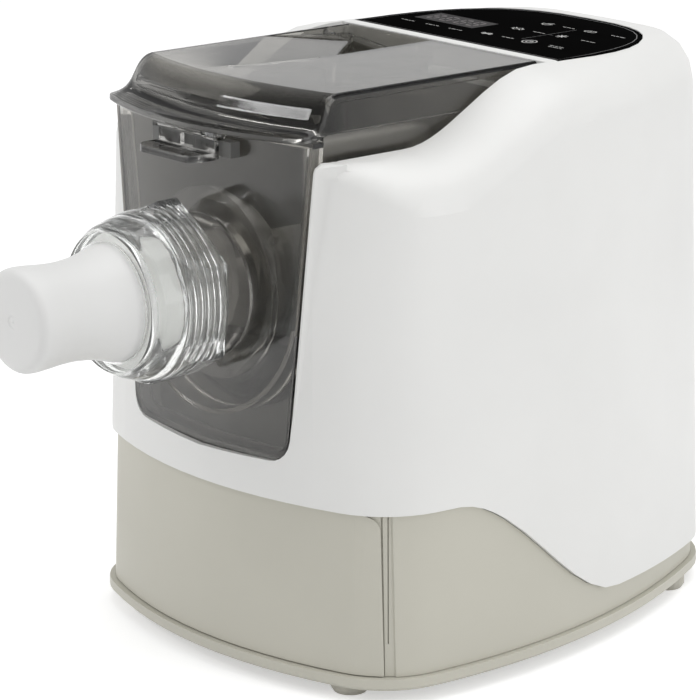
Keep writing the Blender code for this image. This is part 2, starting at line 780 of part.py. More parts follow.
def body_at(z, inset, y):
    """Half the body's width at a height and a place along it."""
    points = [p for p in body_outline(z, inset) if p[0] >= 0]
    for (x0, y0), (x1, y1) in zip(points, points[1:]):
        if y0 <= y <= y1:
            return x0 + (x1 - x0) * (y - y0) / max(y1 - y0, GAP)
    return points[-1][0]


# White upper housing: one moulded shell with the well for the bowl, screw posts and air slots
def post_centres():
    found = []
    for y in (POST_FRONT_Y, POST_REAR_Y):
        x = body_at(seam_z(y), WALL + SLIP + POST_R, y)
        found += [(x, y, 0), (-x, y, 0)]
    return found


def window_points(inset, top):
    """The window's outline in the front wall: it narrows downwards and has round lower corners."""
    run = top - WINDOW_LOW_Z
    lean = math.atan2(WINDOW_TAPER, WINDOW_TOP_Z - WINDOW_LOW_Z)
    low_half = WINDOW_LOW_HALF - inset
    radius = WINDOW_CORNER_R - inset
    low = WINDOW_LOW_Z + inset + WINDOW_SAG
    centre = (low_half - radius * (1 - math.sin(lean)), low + radius)
    corner = arc(centre, radius, -math.pi / 2, -lean, 5)
    right = [(0, low - WINDOW_SAG)] + corner
    right.append((low_half + run * math.tan(lean), top))
    left = [(-x, z) for x, z in reversed(right[1:])]
    return right + left


def window_border(side):
    """A raised border on one side of the window. The plate there is flatter than the shell,
    and the border's slope joins the shell to the plate's edge."""
    low_top = SHOULDER_FRONT_Z - BORDER_ROUND
    sections = []
    for top, back in ((low_top, 0), (low_top + BORDER_ROUND / 2, BORDER_ROUND / 6),
                      (SHOULDER_FRONT_Z, BORDER_ROUND)):
        inner = window_points(BORDER_LAP, top)
        lip = window_points(-BORDER_LIP, top)
        foot = window_points(-BORDER_REACH, top)
        count = len(lip) // 2 + 1
        for i in range(count - 1 if sections else 1, count):
            front = PLATE_FACE_Y + SLIP + PLATE_SAG * (lip[i][0] / WINDOW_TOP_HALF) ** 2 + back
            deep = front - back + BORDER_DEPTH
            sections.append([
                (side * inner[i][0], front, inner[i][1]), (side * lip[i][0], front, lip[i][1]),
                (side * foot[i][0], deep, foot[i][1]), (side * inner[i][0], deep, inner[i][1]),
            ])
    return skin("window_border", sections)


def upper_housing():
    quarter = math.pi / 2
    below = lambda y: seam_z(y) - OVERRUN
    shell = loft("upper_housing", [
        body_ring(seam_z, -SHELL_PROUD),
        *(shoulder_ring(quarter * i / 4) for i in range(5)),
    ], WHITE)
    hollow = loft("housing_hollow", [
        body_ring(below, WALL - SHELL_PROUD),
        *(shoulder_ring(quarter * i / 2, WALL) for i in range(3)),
    ])
    block_half = WELL_HALF + WALL
    block = box("well_block", (-block_half, WELL_FRONT_Y + GAP, SEAM_FRONT_Z + WALL),
                (block_half, BULKHEAD_Y, TOP_Z + OVERRUN))
    cut(hollow, block)
    well = box("well_space", (-WELL_HALF, WELL_FRONT_Y, 0), (WELL_HALF, WELL_REAR_Y, TOP_Z + OVERRUN))
    window = outline_solid("window_space", window_points(0, TOP_Z + OVERRUN), "y",
                           CAP_TIP_Y, WELL_FRONT_Y)
    posts = rods("screw_posts", "z", post_centres(), PLATE_TOP_Z + GAP, POST_TOP_Z, POST_R)
    gussets = []
    for x, y, _ in post_centres():
        ends = sorted((x, math.copysign(body_at(POST_TOP_Z, -WALL / 2, y), x)))
        gussets.append(((ends[0], y - WALL / 2, SEAM_FRONT_Z), (ends[1], y + WALL / 2, POST_TOP_Z)))
    holes = rods("post_holes", "z", post_centres(), 0, SEAM_REAR_Z, SCREW_R + GAP, 8)
    slots = boxes("air_slots", [
        ((x - SLOT_WIDE / 2, REAR_Y - OVERRUN - OVERRUN, MOTOR_Z - SLOT_BELOW),
         (x + SLOT_WIDE / 2, REAR_Y + OVERRUN, MOTOR_Z + SLOT_ABOVE))
        for x in ((i - (SLOT_COUNT - 1) / 2) * SLOT_PITCH for i in range(SLOT_COUNT))
    ])
    gland = rod("gland_hole", "y", (GLAND_X, 0, GLAND_Z), REAR_Y - OVERRUN - OVERRUN, REAR_Y + OVERRUN,
                GLAND_R + GAP, 16)
    shaft = rod("bulkhead_bore", "y", (0, 0, AXIS_Z), 0, BULKHEAD_Y + OVERRUN, BEARING_R + SLIP, 24)
    plunger = rod("plunger_bore", "y", (SWITCH_X, 0, SWITCH_Z), 0, BULKHEAD_Y + WALL,
                  PLUNGER_R + GAP, 12)
    pins = rod("pin_holes", "x", (0, LID_PIVOT_Y, LID_PIVOT_Z), -WELL_HALF - WALL - OVERRUN,
               WELL_HALF + WALL + OVERRUN, LID_PIN_R + GAP, 12)
    ledge = panel_solid("panel_seat", TOP_Z - PANEL_T - GAP, TOP_Z + OVERRUN, -GAP)
    opening = panel_solid("panel_opening", TOP_Z - OVERRUN, TOP_Z, PANEL_LEDGE)
    fuse(shell, window_border(-1), window_border(1))
    cut(shell, hollow)
    fuse(shell, posts, boxes("post_gussets", gussets))
    cut(shell, well, window, holes, slots, gland, shaft, plunger, pins, ledge, opening)


def panel_outline(inset):
    """The control panel from above: a straight front and a rounded back of one power curve."""
    half = PANEL_HALF - inset
    length = PANEL_LENGTH - inset
    front = PANEL_FRONT_Y + inset
    points = []
    for i in range(PANEL_STEPS + 1):
        turn = math.pi * i / PANEL_STEPS
        c, s = math.cos(turn), math.sin(turn)
        x = half * math.copysign(abs(c) ** (2 / PANEL_POWER), c)
        y = front + (length - inset) * abs(s) ** (2 / PANEL_POWER)
        points.append((x, y))
    return points


def panel_solid(name, low, high, inset, paint=None):
    return outline_solid(name, panel_outline(inset), "z", low, high, paint)


# Control panel: black glass, its touch board and the display behind it
def control_panel():
    panel_solid("control_panel_glass", TOP_Z - PANEL_T, TOP_Z - GAP, 0, PANEL)
    under = TOP_Z - WALL - PANEL_T
    board_top = under - GAP
    panel_solid("touch_board", board_top - BOARD_T, board_top, BOARD_INSET, BOARD)
    display_top = board_top - BOARD_T - GAP
    box("display_module",
        (DISPLAY_X - DISPLAY_WIDE / 2, DISPLAY_Y - DISPLAY_LONG / 2, display_top - DISPLAY_TALL),
        (DISPLAY_X + DISPLAY_WIDE / 2, DISPLAY_Y + DISPLAY_LONG / 2, display_top), DARK)


# Base: plate with a rim, feet, and the skirt that the drawer front completes
def base():
    plate = loft("base_plate", [
        body_ring(FLOOR_GAP, -PLATE_PROUD + PLATE_ROUND),
        body_ring(FLOOR_GAP + PLATE_ROUND, -PLATE_PROUD),
        body_ring(PLATE_TOP_Z, -PLATE_PROUD),
    ], BEIGE)
    feet_at = [(side * x, y, 0) for side in (-1, 1)
               for x, y in ((FOOT_X, FOOT_FRONT_Y), (FOOT_REAR_X, FOOT_REAR_Y))]
    sockets = rods("foot_sockets", "z", feet_at, 0, FLOOR_GAP + PLATE_T / 3, FOOT_R + GAP, 20)
    screws = rods("plate_holes", "z", post_centres(), 0, TOP_Z, SCREW_R + GAP, 8)
    heads = rods("head_sinks", "z", post_centres(), 0, FLOOR_GAP + PLATE_T / 2, 2 * SCREW_R + GAP, 10)
    cut(plate, sockets, screws, heads)
    foot_top = FLOOR_GAP + PLATE_T / 3 - GAP
    upright_copies("rubber_foot", [
        (0, foot_top), (FOOT_R, foot_top), (FOOT_R, FLOOR_GAP / 3), (FOOT_R - FOOT_CHAMFER, 0), (0, 0),
    ], feet_at, RUBBER, 20)

    top = lambda y: seam_z(y) - GAP
    over = lambda y: seam_z(y) + OVERRUN
    skirt = loft("base_housing", [body_ring(PLATE_TOP_Z + GAP), body_ring(top)], BEIGE)
    inside = loft("skirt_hollow", [body_ring(0, WALL), body_ring(over, WALL)])
    front = outline_solid("drawer_mouth", drawer_corner(GAP, CAP_TIP_Y), "x", -HALF_WIDTH, HALF_WIDTH)
    sink = loft("grip_core", [body_ring(0, GRIP_SINK), body_ring(over, GRIP_SINK)])
    strip = box("grip_strip", (-HALF_WIDTH, CAP_TIP_Y, FLOOR_GAP),
                (HALF_WIDTH, DRAWER_EDGE_Y + GRIP_STRIP, TOP_Z))
    cut(strip, sink)
    cut(skirt, front, strip, inside)

    under = PLATE_TOP_Z + GAP
    frame = box("inner_frame", (-FRAME_HALF, FRAME_FRONT_Y, under), (FRAME_HALF, FRAME_REAR_Y, DECK_Z),
                FRAME)
    bay = box("drawer_bay", (-FRAME_HALF + FRAME_T, CAP_TIP_Y, 0),
              (FRAME_HALF - FRAME_T, FRAME_REAR_Y - FRAME_T, DECK_Z - FRAME_T))
    tongue = box("deck_front", (-HALF_WIDTH, CAP_TIP_Y, DECK_Z - FRAME_T),
                 (HALF_WIDTH, FRAME_FRONT_Y + FRAME_T, DECK_Z))
    limit = loft("deck_limit", [body_ring(0, WALL + SLIP), body_ring(TOP_Z, WALL + SLIP)])
    keep(tongue, limit)
    fuse(frame, tongue)
    for i in range(2):
        y = WELL_FRONT_Y + CRADLE_FRONT + i * CRADLE_STEP
        rib = box("cradle_%d" % i, (-BOWL_R, y, DECK_Z - GAP), (BOWL_R, y + WALL, AXIS_Z - BOWL_R / 2))
        fuse(frame, rib)
    saddle = rod("bowl_saddle", "y", (0, 0, AXIS_Z), CAP_TIP_Y, REAR_Y, BOWL_R + GAP, 48)
    cut(frame, bay, saddle)


def drawer_corner(grow, far_y):
    """The side view of what lies ahead of, or behind, the drawer front's edge and its round top corner.
    The arc stops short of the top, so that what is left of the skirt there ends blunt."""
    high = SEAM_FRONT_Z - SLIP
    middle = (DRAWER_EDGE_Y - DRAWER_CORNER_R, high - DRAWER_CORNER_R)
    corner = arc(middle, DRAWER_CORNER_R + grow, 0, DRAWER_CORNER_TURN, 6)
    return [(far_y, 0), (corner[0][0], 0)] + corner + [(corner[-1][0], TOP_Z), (far_y, TOP_Z)]


# Storage drawer: a bowed front that wraps both corners, and an open tray behind it
def storage_drawer():
    slide = joint_empty("drawer_slide", DRAWER_REAR_Y, PLATE_TOP_Z)
    low = PLATE_TOP_Z + SLIP
    high = SEAM_FRONT_Z - SLIP
    front = loft("storage_drawer", [body_ring(low), body_ring(high)], BEIGE, slide)
    inner = loft("drawer_front_hollow", [body_ring(0, WALL), body_ring(TOP_Z, WALL)], None, slide)
    behind = outline_solid("drawer_front_limit", drawer_corner(0, REAR_Y + OVERRUN), "x",
                           -HALF_WIDTH, HALF_WIDTH, None, slide)
    tray = box("drawer_tray", (-DRAWER_HALF, CAP_TIP_Y, low), (DRAWER_HALF, DRAWER_REAR_Y, DRAWER_RIM_Z),
               None, slide)
    fit = loft("tray_limit", [body_ring(0, WALL / 2), body_ring(TOP_Z, WALL / 2)], None, slide)
    keep(tray, fit)
    inset = DRAWER_HALF - DRAWER_WALL
    space = box("tray_space", (-inset, CAP_TIP_Y, low + DRAWER_WALL),
                (inset, DRAWER_REAR_Y - DRAWER_WALL, TOP_Z), None, slide)
    room = loft("tray_room", [body_ring(0, WALL + DRAWER_WALL), body_ring(TOP_Z, WALL + DRAWER_WALL)],
                None, slide)
    keep(space, room)
    cut(front, behind, inner)
    fuse(front, tray)
    cut(front, space)


# Mixing bowl: a U-shaped tub with a rim, open at the top and front, with a seal round the shaft
def tub(name, inset, low_y, high_y, top, paint=None):
    """A U that hugs the paddles below and leans out to the rim, drawn in by inset."""
    radius = BOWL_R - inset
    half = BOWL_TOP_HALF - inset
    rise = BOWL_RIM_Z - AXIS_Z
    lean = math.acos(radius / math.hypot(half, rise)) - math.atan2(rise, half)
    half += (top - BOWL_RIM_Z) * math.tan(lean)
    points = [(half, top)] + arc((0, AXIS_Z), radius, -lean, lean - math.pi, BOWL_STEPS) + [(-half, top)]
    return outline_solid(name, points, "y", low_y, high_y, paint)


def mixing_bowl():
    bowl = smooth(tub("mixing_bowl", 0, WELL_FRONT_Y, BOWL_REAR_Y, BOWL_RIM_Z, SMOKE))
    room = tub("bowl_room", BOWL_WALL, WELL_FRONT_Y - OVERRUN, BOWL_REAR_Y - BOWL_WALL, TOP_Z)
    hole = rod("bowl_shaft_hole", "y", (0, 0, AXIS_Z), 0, BOWL_REAR_Y + OVERRUN, SEAL_R + GAP, 24)
    cut(bowl, room, hole)
    turned("shaft_seal", [
        (SHAFT_R + GAP, BOWL_REAR_Y - BOWL_WALL - GAP), (SEAL_R, BOWL_REAR_Y - BOWL_WALL - GAP),
        (SEAL_R, BOWL_REAR_Y), (SEAL_R + THIN, BOWL_REAR_Y + GAP),
        (SEAL_R + THIN, WELL_REAR_Y - GAP), (SHAFT_R + GAP, WELL_REAR_Y - GAP),
    ], AXIS_Z, SEAL, sides=24)


# Front plate: a smoky tray in the window, with a U-shaped collar that closes the bowl
def behind_plate(name, inset):
    """What lies behind the plate's face. Its bow is shallower than the shell's, so its sides stand proud."""
    steps = 12
    across = [WINDOW_TOP_HALF * (2 * i / steps - 1) for i in range(steps + 1)]
    points = [(x, PLATE_FACE_Y + inset + PLATE_SAG * (x / WINDOW_TOP_HALF) ** 2) for x in across]
    points += [(WINDOW_TOP_HALF, REAR_Y), (-WINDOW_TOP_HALF, REAR_Y)]
    return outline_solid(name, points, "z", 0, TOP_Z)


def front_plate():
    seal_y = WELL_FRONT_Y - SEAL_T
    plate = outline_solid("front_plate", window_points(SLIP, PLATE_TOP_EDGE_Z), "y", CAP_TIP_Y, seal_y, SMOKE)
    keep(plate, behind_plate("plate_face", 0))
    inner = outline_solid("plate_room", window_points(SLIP + PLATE_BACK, PLATE_TOP_EDGE_Z - PLATE_BACK), "y",
                          CAP_TIP_Y, WELL_FRONT_Y)
    keep(inner, behind_plate("plate_back", PLATE_BACK))
    collar = tub("collar_outer", GAP, CAP_TIP_Y, WELL_FRONT_Y, PLATE_TOP_EDGE_Z)
    cut(collar, tub("collar_inner", BOWL_WALL + GAP, CAP_TIP_Y - OVERRUN, WELL_FRONT_Y + OVERRUN, TOP_Z))
    cut(inner, collar)
    cut(plate, inner, rod("plate_hole", "y", (0, 0, AXIS_Z), CAP_TIP_Y, 0, THREAD_R + GAP, 36))
    seal = tub("front_seal", GAP, seal_y + GAP, WELL_FRONT_Y - GAP, PLATE_TOP_EDGE_Z, SEAL)
    cut(seal, tub("seal_bore", BOWL_WALL, seal_y - OVERRUN, 0, TOP_Z))
    catch = box("catch_bracket", (-CATCH_HALF, LATCH_PIN_Y + LATCH_T / 2 + GAP, CATCH_TOP_Z - CATCH_HIGH),
                (CATCH_HALF, WELL_FRONT_Y, CATCH_TOP_Z), DARK)
    cut(catch, behind_plate("catch_seat", -GAP))


# Extrusion barrel: a dark tube with a scoop cut inside the bowl and thread rings outside
def extrusion_barrel():
    rings = []
    level = NUT_REAR_Y - THREAD_PITCH
    for i in range(THREAD_RINGS):
        start = level - i * THREAD_PITCH
        rings += [(BARREL_R, start), (THREAD_R, start - THREAD_PITCH / 4),
                  (THREAD_R, start - THREAD_PITCH / 2), (BARREL_R, start - 3 * THREAD_PITCH / 4)]
    plate_y = PLATE_FACE_Y + PLATE_BACK + GAP
    profile = [
        (BARREL_BORE_R, BARREL_REAR_Y), (BARREL_TUBE_R, BARREL_REAR_Y),
        (BARREL_TUBE_R, plate_y + 2 * BARREL_FLANGE_T), (BARREL_FLANGE_R, plate_y + 2 * BARREL_FLANGE_T),
        (BARREL_FLANGE_R, plate_y + BARREL_FLANGE_T), (THREAD_R, plate_y),
        (THREAD_R, NUT_REAR_Y + THREAD_PITCH / 2), (BARREL_R, NUT_REAR_Y), *rings,
        (BARREL_R, BARREL_TIP_Y), (BARREL_BORE_R, BARREL_TIP_Y),
    ]
    barrel = turned("extrusion_barrel", profile, AXIS_Z, DARK, sides=30)
    scoop = box("scoop", (-BARREL_BORE_R, BARREL_REAR_Y - 2 * BARREL_FLANGE_R / 3, AXIS_Z),
                (BARREL_BORE_R, BARREL_REAR_Y + OVERRUN, AXIS_Z + BARREL_FLANGE_R + OVERRUN))
    face = behind_plate("barrel_limit", PLATE_BACK + GAP)
    ahead = rod("barrel_neck_room", "y", (0, 0, AXIS_Z), CAP_TIP_Y, BARREL_REAR_Y, THREAD_R + GAP / 2, 36)
    wide = box("barrel_trim", (-HALF_WIDTH, NUT_REAR_Y, 0), (HALF_WIDTH, 0, TOP_Z))
    cut(wide, face, ahead)
    cut(barrel, scoop, wide)


# Clear lock nut: a lobed grip behind a round collar, with thread rings inside
def lobe_points(radius, lobe_r, count, steps=6):
    """A circle drawn out to a soft corner at each lobe."""
    points = []
    for i in range(count * steps):
        share = (i % steps) / steps
        reach = abs(2 * share - 1) ** 3
        r = radius + (lobe_r - radius) * reach
        turn = NUT_LOBE_TURN + 2 * math.pi * i / (count * steps)
        points.append((r * math.cos(turn), AXIS_Z + r * math.sin(turn)))
    return points


def lock_nut():
    spin = joint_empty("lock_nut_turn", NUT_REAR_Y, AXIS_Z)
    grip_front = NUT_REAR_Y - NUT_LOBE_LENGTH
    outer = turned("nut_collar", [
        (0, grip_front + WALL), (NUT_R, grip_front + WALL), (NUT_R, grip_front),
        (NUT_R - THIN, grip_front - NUT_LOBE_LENGTH / 4), (NUT_FRONT_R + THIN / 2, NUT_FRONT_Y + NUT_LIP_T),
        (NUT_FRONT_R, NUT_FRONT_Y), (0, NUT_FRONT_Y),
    ], AXIS_Z, None, spin, 36)
    nut = outline_solid("lock_nut", lobe_points(NUT_R, NUT_LOBE_R, NUT_LOBES), "y", grip_front, NUT_REAR_Y,
                        CLEAR, spin)
    lip_y = NUT_FRONT_Y + NUT_LIP_T
    bore = turned("nut_bore", [
        (0, NUT_REAR_Y + OVERRUN), (NUT_BORE_R, NUT_REAR_Y + OVERRUN), (NUT_BORE_R, BARREL_TIP_Y),
        (DIE_R + GAP + GAP, BARREL_TIP_Y - GAP), (DIE_R + GAP + GAP, lip_y + DIE_T / 3),
        (NUT_MOUTH_R + THIN, lip_y), (NUT_MOUTH_R, lip_y - GAP), (NUT_MOUTH_R, NUT_FRONT_Y - OVERRUN),
        (0, NUT_FRONT_Y - OVERRUN),
    ], AXIS_Z, None, spin, 36)
    fuse(nut, outer)
    cut(smooth(nut), bore)


# Die: a thick pale disc with its ring of shaping holes, held against the barrel by the nut
def die_and_cap():
    back = BARREL_TIP_Y - GAP
    front = back - DIE_T
    die = turned("die_disc", [
        (0, back), (DIE_R, back), (DIE_R, front + DIE_T / 3),
        (NUT_MOUTH_R, front), (CAP_BORE_R, front), (CAP_BORE_R - GAP, front + DIE_T / 3),
        (0, front + DIE_T / 3),
    ], AXIS_Z, PALE, sides=30)
    around = [2 * math.pi * i / DIE_HOLES for i in range(DIE_HOLES)]
    spots = [(DIE_RING_R * math.cos(a), 0, AXIS_Z + DIE_RING_R * math.sin(a)) for a in around]
    spots.append((0, 0, AXIS_Z))
    cut(die, rods("die_holes", "y", spots, front - OVERRUN, back + OVERRUN, DIE_HOLE_R, 8))

    pull = joint_empty("cap_slide", CAP_TIP_Y, AXIS_Z)
    start = front - GAP
    length = start - CAP_TIP_Y
    profile = [(0, start - WALL), (CAP_BORE_R - WALL, start - WALL), (CAP_BORE_R, start)]
    for along, first, mix in CAP_SHAPE_SHARES:
        radius = CAP_RADII[first] * (1 - mix) + CAP_RADII[first + 1] * mix
        profile.append((radius, start - along * length))
    profile.append((0, CAP_TIP_Y))
    turned("end_cap", profile, AXIS_Z, FROST, pull, 30)


# Mixing auger: one moulding with a feed screw in the barrel and a paddle frame in the bowl
def flight(name, joint):
    """A helical fin with a rectangular section, from its root inside the core to the bore."""
    made = bmesh.new()
    root = SCREW_CORE_R - GAP - GAP
    rings = []
    for i in range(FLIGHT_TURNS * FLIGHT_STEPS + 1):
        turn = 2 * math.pi * i / FLIGHT_STEPS
        y = SCREW_FRONT_Y + FLIGHT_PITCH * i / FLIGHT_STEPS
        c, s = math.cos(turn), math.sin(turn)
        rings.append([made.verts.new((r * c, y + t, AXIS_Z + r * s)) for r, t in (
            (root, 0), (SCREW_FLIGHT_R, 0), (SCREW_FLIGHT_R, FLIGHT_T), (root, FLIGHT_T))])
    for first, second in zip(rings, rings[1:]):
        for i in range(4):
            j = (i + 1) % 4
            made.faces.new((first[i], first[j], second[j], second[i]))
    made.faces.new(rings[0])
    made.faces.new(rings[-1])
    return finish(name, made, None, joint)


def drive_line():
    spin = joint_empty("auger_spin", 0, AXIS_Z)
    hub_end = BOWL_REAR_Y - BOWL_WALL - SLIP
    auger = turned("mixing_auger", [
        (0, hub_end), (HUB_R, hub_end), (HUB_R, SCREW_REAR_Y + OVERRUN), (SCREW_CORE_R, SCREW_REAR_Y),
        (SCREW_CORE_R, SCREW_FRONT_Y - GAP), (0, SCREW_FRONT_Y - GAP),
    ], AXIS_Z, FRAME, spin, 24)
    fin = flight("auger_flight", spin)
    half = PADDLE_T / 2
    inner = PADDLE_R - PADDLE_T
    bars = []
    for side, place in ((-1, "low"), (1, "high")):
        for end, y in (("front", PADDLE_FRONT_Y), ("rear", PADDLE_REAR_Y - PADDLE_T)):
            ends = sorted((AXIS_Z, AXIS_Z + side * PADDLE_R))
            bars.append(box("%s_arm_%s" % (place, end), (-half, y, ends[0]), (half, y + PADDLE_T, ends[1]),
                            None, spin))
        ends = sorted((AXIS_Z + side * inner, AXIS_Z + side * (PADDLE_R + GAP)))
        bars.append(box("%s_blade" % place, (-PADDLE_T, PADDLE_FRONT_Y + half, ends[0]),
                        (half - GAP, PADDLE_REAR_Y - half, ends[1]), None, spin))
    socket = rod("auger_socket", "y", (0, 0, AXIS_Z), hub_end - SOCKET_DEPTH, BOWL_REAR_Y + OVERRUN,
                 SHAFT_R + GAP, 6, None, spin)
    fuse(auger, fin, *bars)
    cut(auger, socket)

    shaft_end = GEAR_END_Y + GEAR_TAIL
    turned("drive_shaft", [
        (0, shaft_end), (SHAFT_R, shaft_end), (SHAFT_R, hub_end + THIN),
        (SHAFT_HEX_R, hub_end + THIN), (SHAFT_HEX_R, hub_end - SOCKET_DEPTH + GAP),
        (0, hub_end - SOCKET_DEPTH + GAP),
    ], AXIS_Z, STEEL, spin, 24)
    output = wheel("output_gear", OUTPUT_TEETH, AXIS_Z, GEAR_START_Y, GEAR_START_Y + GEAR_T, spin, 0)
    cut(output, gear_bore("output_bore", AXIS_Z, SHAFT_R + GAP, spin))


# Gear train: involute stub teeth, in two meshes one behind the other
def involute(angle):
    return math.tan(angle) - angle


def gear_points(teeth, turn, z, backlash):
    """One tooth's two flanks at a few radii, repeated round the wheel."""
    pitch_r = TOOTH_MODULE * teeth / 2
    base_r = pitch_r * math.cos(PRESSURE_ANGLE)
    root_r = pitch_r - DEDENDUM_SHARE * TOOTH_MODULE
    tip_r = pitch_r + ADDENDUM_SHARE * TOOTH_MODULE
    half = math.pi / (2 * teeth) - backlash / (4 * pitch_r)
    flank = []
    for share in FLANK_SHARES:
        r = root_r + (tip_r - root_r) * share
        bend = involute(math.acos(min(1, base_r / r)))
        flank.append((r, half + involute(PRESSURE_ANGLE) - bend))
    points = []
    for i in range(teeth):
        middle = turn + 2 * math.pi * i / teeth
        for r, offset in flank:
            points.append((r, middle - offset))
        for r, offset in reversed(flank):
            points.append((r, middle + offset))
    return [(r * math.sin(a), z + r * math.cos(a)) for r, a in points]


def wheel(name, teeth, z, low_y, high_y, joint, turn, paint=GEAR):
    points = gear_points(teeth, turn, z, BACKLASH)
    return outline_solid(name, points, "y", low_y, high_y, paint, joint)


def gear_bore(name, z, radius, joint):
    return rod(name, "y", (0, 0, z), BULKHEAD_Y, REAR_Y, radius, 18, None, joint)


def gear_train():
    """Wheels keep a tooth straight down at rest, and each pinion keeps a gap straight up."""
    gap_up = math.pi / PINION_TEETH
    idler_spin = joint_empty("idler_spin", WHEEL_START_Y, IDLER_Z)
    motor_spin = joint_empty("motor_spin", WHEEL_START_Y, MOTOR_Z)
    idler = wheel("idler_gear", IDLER_TEETH, IDLER_Z, WHEEL_START_Y, GEAR_END_Y, idler_spin, 0)
    small = wheel("idler_pinion", PINION_TEETH, IDLER_Z, GEAR_START_Y, WHEEL_START_Y + GAP, idler_spin,
                  gap_up, None)
    fuse(idler, small)
    cut(idler, gear_bore("idler_bore", IDLER_Z, IDLER_PIN_R + GAP, idler_spin))
    rod("idler_pin", "y", (0, 0, IDLER_Z), BULKHEAD_Y + GEARBOX_WALL + 2 * GAP,
        GEAR_END_Y + GEAR_TAIL, IDLER_PIN_R, 18, STEEL)
    pinion = wheel("motor_pinion", PINION_TEETH, MOTOR_Z, WHEEL_START_Y, GEAR_END_Y, motor_spin, gap_up)
    cut(pinion, gear_bore("pinion_bore", MOTOR_Z, MOTOR_SHAFT_R + GAP, motor_spin))
    return motor_spin


def hull_outline(margin):
    """The gearbox outline: the hull of circles round the two wheels and the motor pinion."""
    wheels = ((OUTPUT_TEETH, AXIS_Z), (IDLER_TEETH, IDLER_Z), (PINION_TEETH, MOTOR_Z))
    points = []
    for teeth, z in wheels:
        reach = TOOTH_MODULE * (teeth / 2 + ADDENDUM_SHARE) + margin
        points += arc((0, z), reach, 0, 2 * math.pi, 32)[:-1]
    return [points[i] for i in convex_hull_2d([Vector(p) for p in points])]


def gearbox():
    low = BULKHEAD_Y + GAP
    rear = GEAR_END_Y + GEAR_TAIL + GAP
    case = outline_solid("gearbox_housing", hull_outline(GEARBOX_MARGIN), "y", low, rear, CAN)
    room = outline_solid("gearbox_room", hull_outline(GEARBOX_MARGIN - GEARBOX_WALL), "y",
                         low + GEARBOX_WALL, rear + OVERRUN)
    bore = rod("gearbox_bore", "y", (0, 0, AXIS_Z), 0, GEAR_START_Y, BEARING_R - THIN, 24)
    cut(case, room, bore)
    bearing_low = low + GEARBOX_WALL + GAP
    turned("main_bearing", [
        (SHAFT_R + GAP, bearing_low + BEARING_T - GAP), (BEARING_R, bearing_low + BEARING_T - GAP),
        (BEARING_R, bearing_low), (SHAFT_R + GAP, bearing_low),
    ], AXIS_Z, STEEL, sides=24)
    cover = outline_solid("gearbox_cover", hull_outline(GEARBOX_MARGIN), "y", rear + GAP, COVER_Y, CAN)
    hole = rod("cover_hole", "y", (0, 0, MOTOR_Z), 0, REAR_Y, MOTOR_BOSS_R + GAP, 20)
    cut(cover, hole)


# Motor: can, end cap, rotor with its fan, and the rubber saddle that it lies in
def motor(spin):
    start = MOTOR_START_Y
    end = MOTOR_END_Y
    wall = MOTOR_WALL
    turned("motor_can", [
        (MOTOR_SHAFT_R + GAP, start + wall), (MOTOR_R - wall, start + wall), (MOTOR_R - wall, end),
        (MOTOR_R, end), (MOTOR_R, start), (MOTOR_BOSS_R, start), (MOTOR_BOSS_R, start - wall),
        (MOTOR_SHAFT_R + GAP, start - wall),
    ], MOTOR_Z, CAN, sides=32)
    turned("motor_end_cap", [
        (MOTOR_SHAFT_R + GAP, end - wall), (MOTOR_R - wall - GAP, end - wall),
        (MOTOR_R - wall - GAP, end + GAP), (MOTOR_R, end + GAP), (MOTOR_R, end + wall),
        (MOTOR_SHAFT_R + GAP, end + wall),
    ], MOTOR_Z, DARK, sides=32)
    arm_r = MOTOR_R - wall - THIN
    turned("motor_rotor", [
        (0, MOTOR_TAIL_Y), (MOTOR_SHAFT_R, MOTOR_TAIL_Y), (MOTOR_SHAFT_R, end - 3 * wall),
        (arm_r, end - 3 * wall),
        (arm_r, start + 3 * wall), (MOTOR_SHAFT_R, start + 3 * wall), (MOTOR_SHAFT_R, WHEEL_START_Y - GAP),
        (0, WHEEL_START_Y - GAP),
    ], MOTOR_Z, STEEL, spin, 24)
    fan_low = end + wall + SLIP
    fan = turned("cooling_fan", [
        (MOTOR_SHAFT_R + GAP, fan_low + FAN_T), (2 * MOTOR_SHAFT_R, fan_low + FAN_T),
        (2 * MOTOR_SHAFT_R, fan_low), (MOTOR_SHAFT_R + GAP, fan_low),
    ], MOTOR_Z, DARK, spin, 14)
    for i in range(FAN_BLADES):
        made = bmesh.new()
        bmesh.ops.create_cube(made, size=1)
        bmesh.ops.scale(made, vec=(FAN_R - MOTOR_SHAFT_R * 3 / 2, WALL / 2, FAN_T), verts=made.verts)
        reach = (FAN_R + MOTOR_SHAFT_R * 3 / 2) / 2
        turn = Matrix.Rotation(2 * math.pi * i / FAN_BLADES, 4, "Y")
        tilt = Matrix.Rotation(FAN_TILT, 4, "X")
        bmesh.ops.transform(made, matrix=turn @ Matrix.Translation((reach, 0, 0)) @ tilt, verts=made.verts)
        bmesh.ops.translate(made, vec=(0, fan_low + FAN_T / 2, MOTOR_Z), verts=made.verts)
        fuse(fan, finish("fan_blade_%d" % i, made, None, spin))
    saddle_y = start + MOTOR_LENGTH / 2
    saddle = box("motor_saddle", (-MOTOR_R - WALL, saddle_y, PLATE_TOP_Z + GAP),
                 (MOTOR_R + WALL, saddle_y + 2 * WALL, MOTOR_Z - MOTOR_R / 3), RUBBER)
    cut(saddle, rod("saddle_bore", "y", (0, 0, MOTOR_Z), 0, REAR_Y, MOTOR_R + GAP, 32))


# Lid: a smoky hood with a flat top, an S-shaped lip, a sloped feed side and a funnel with slots
def lid_half(z):
    """Half the lid's width at a height: its sides lean out towards the skirt."""
    return LID_HALF - LID_FLARE * (z - LID_SKIRT_Z) / LID_RISE


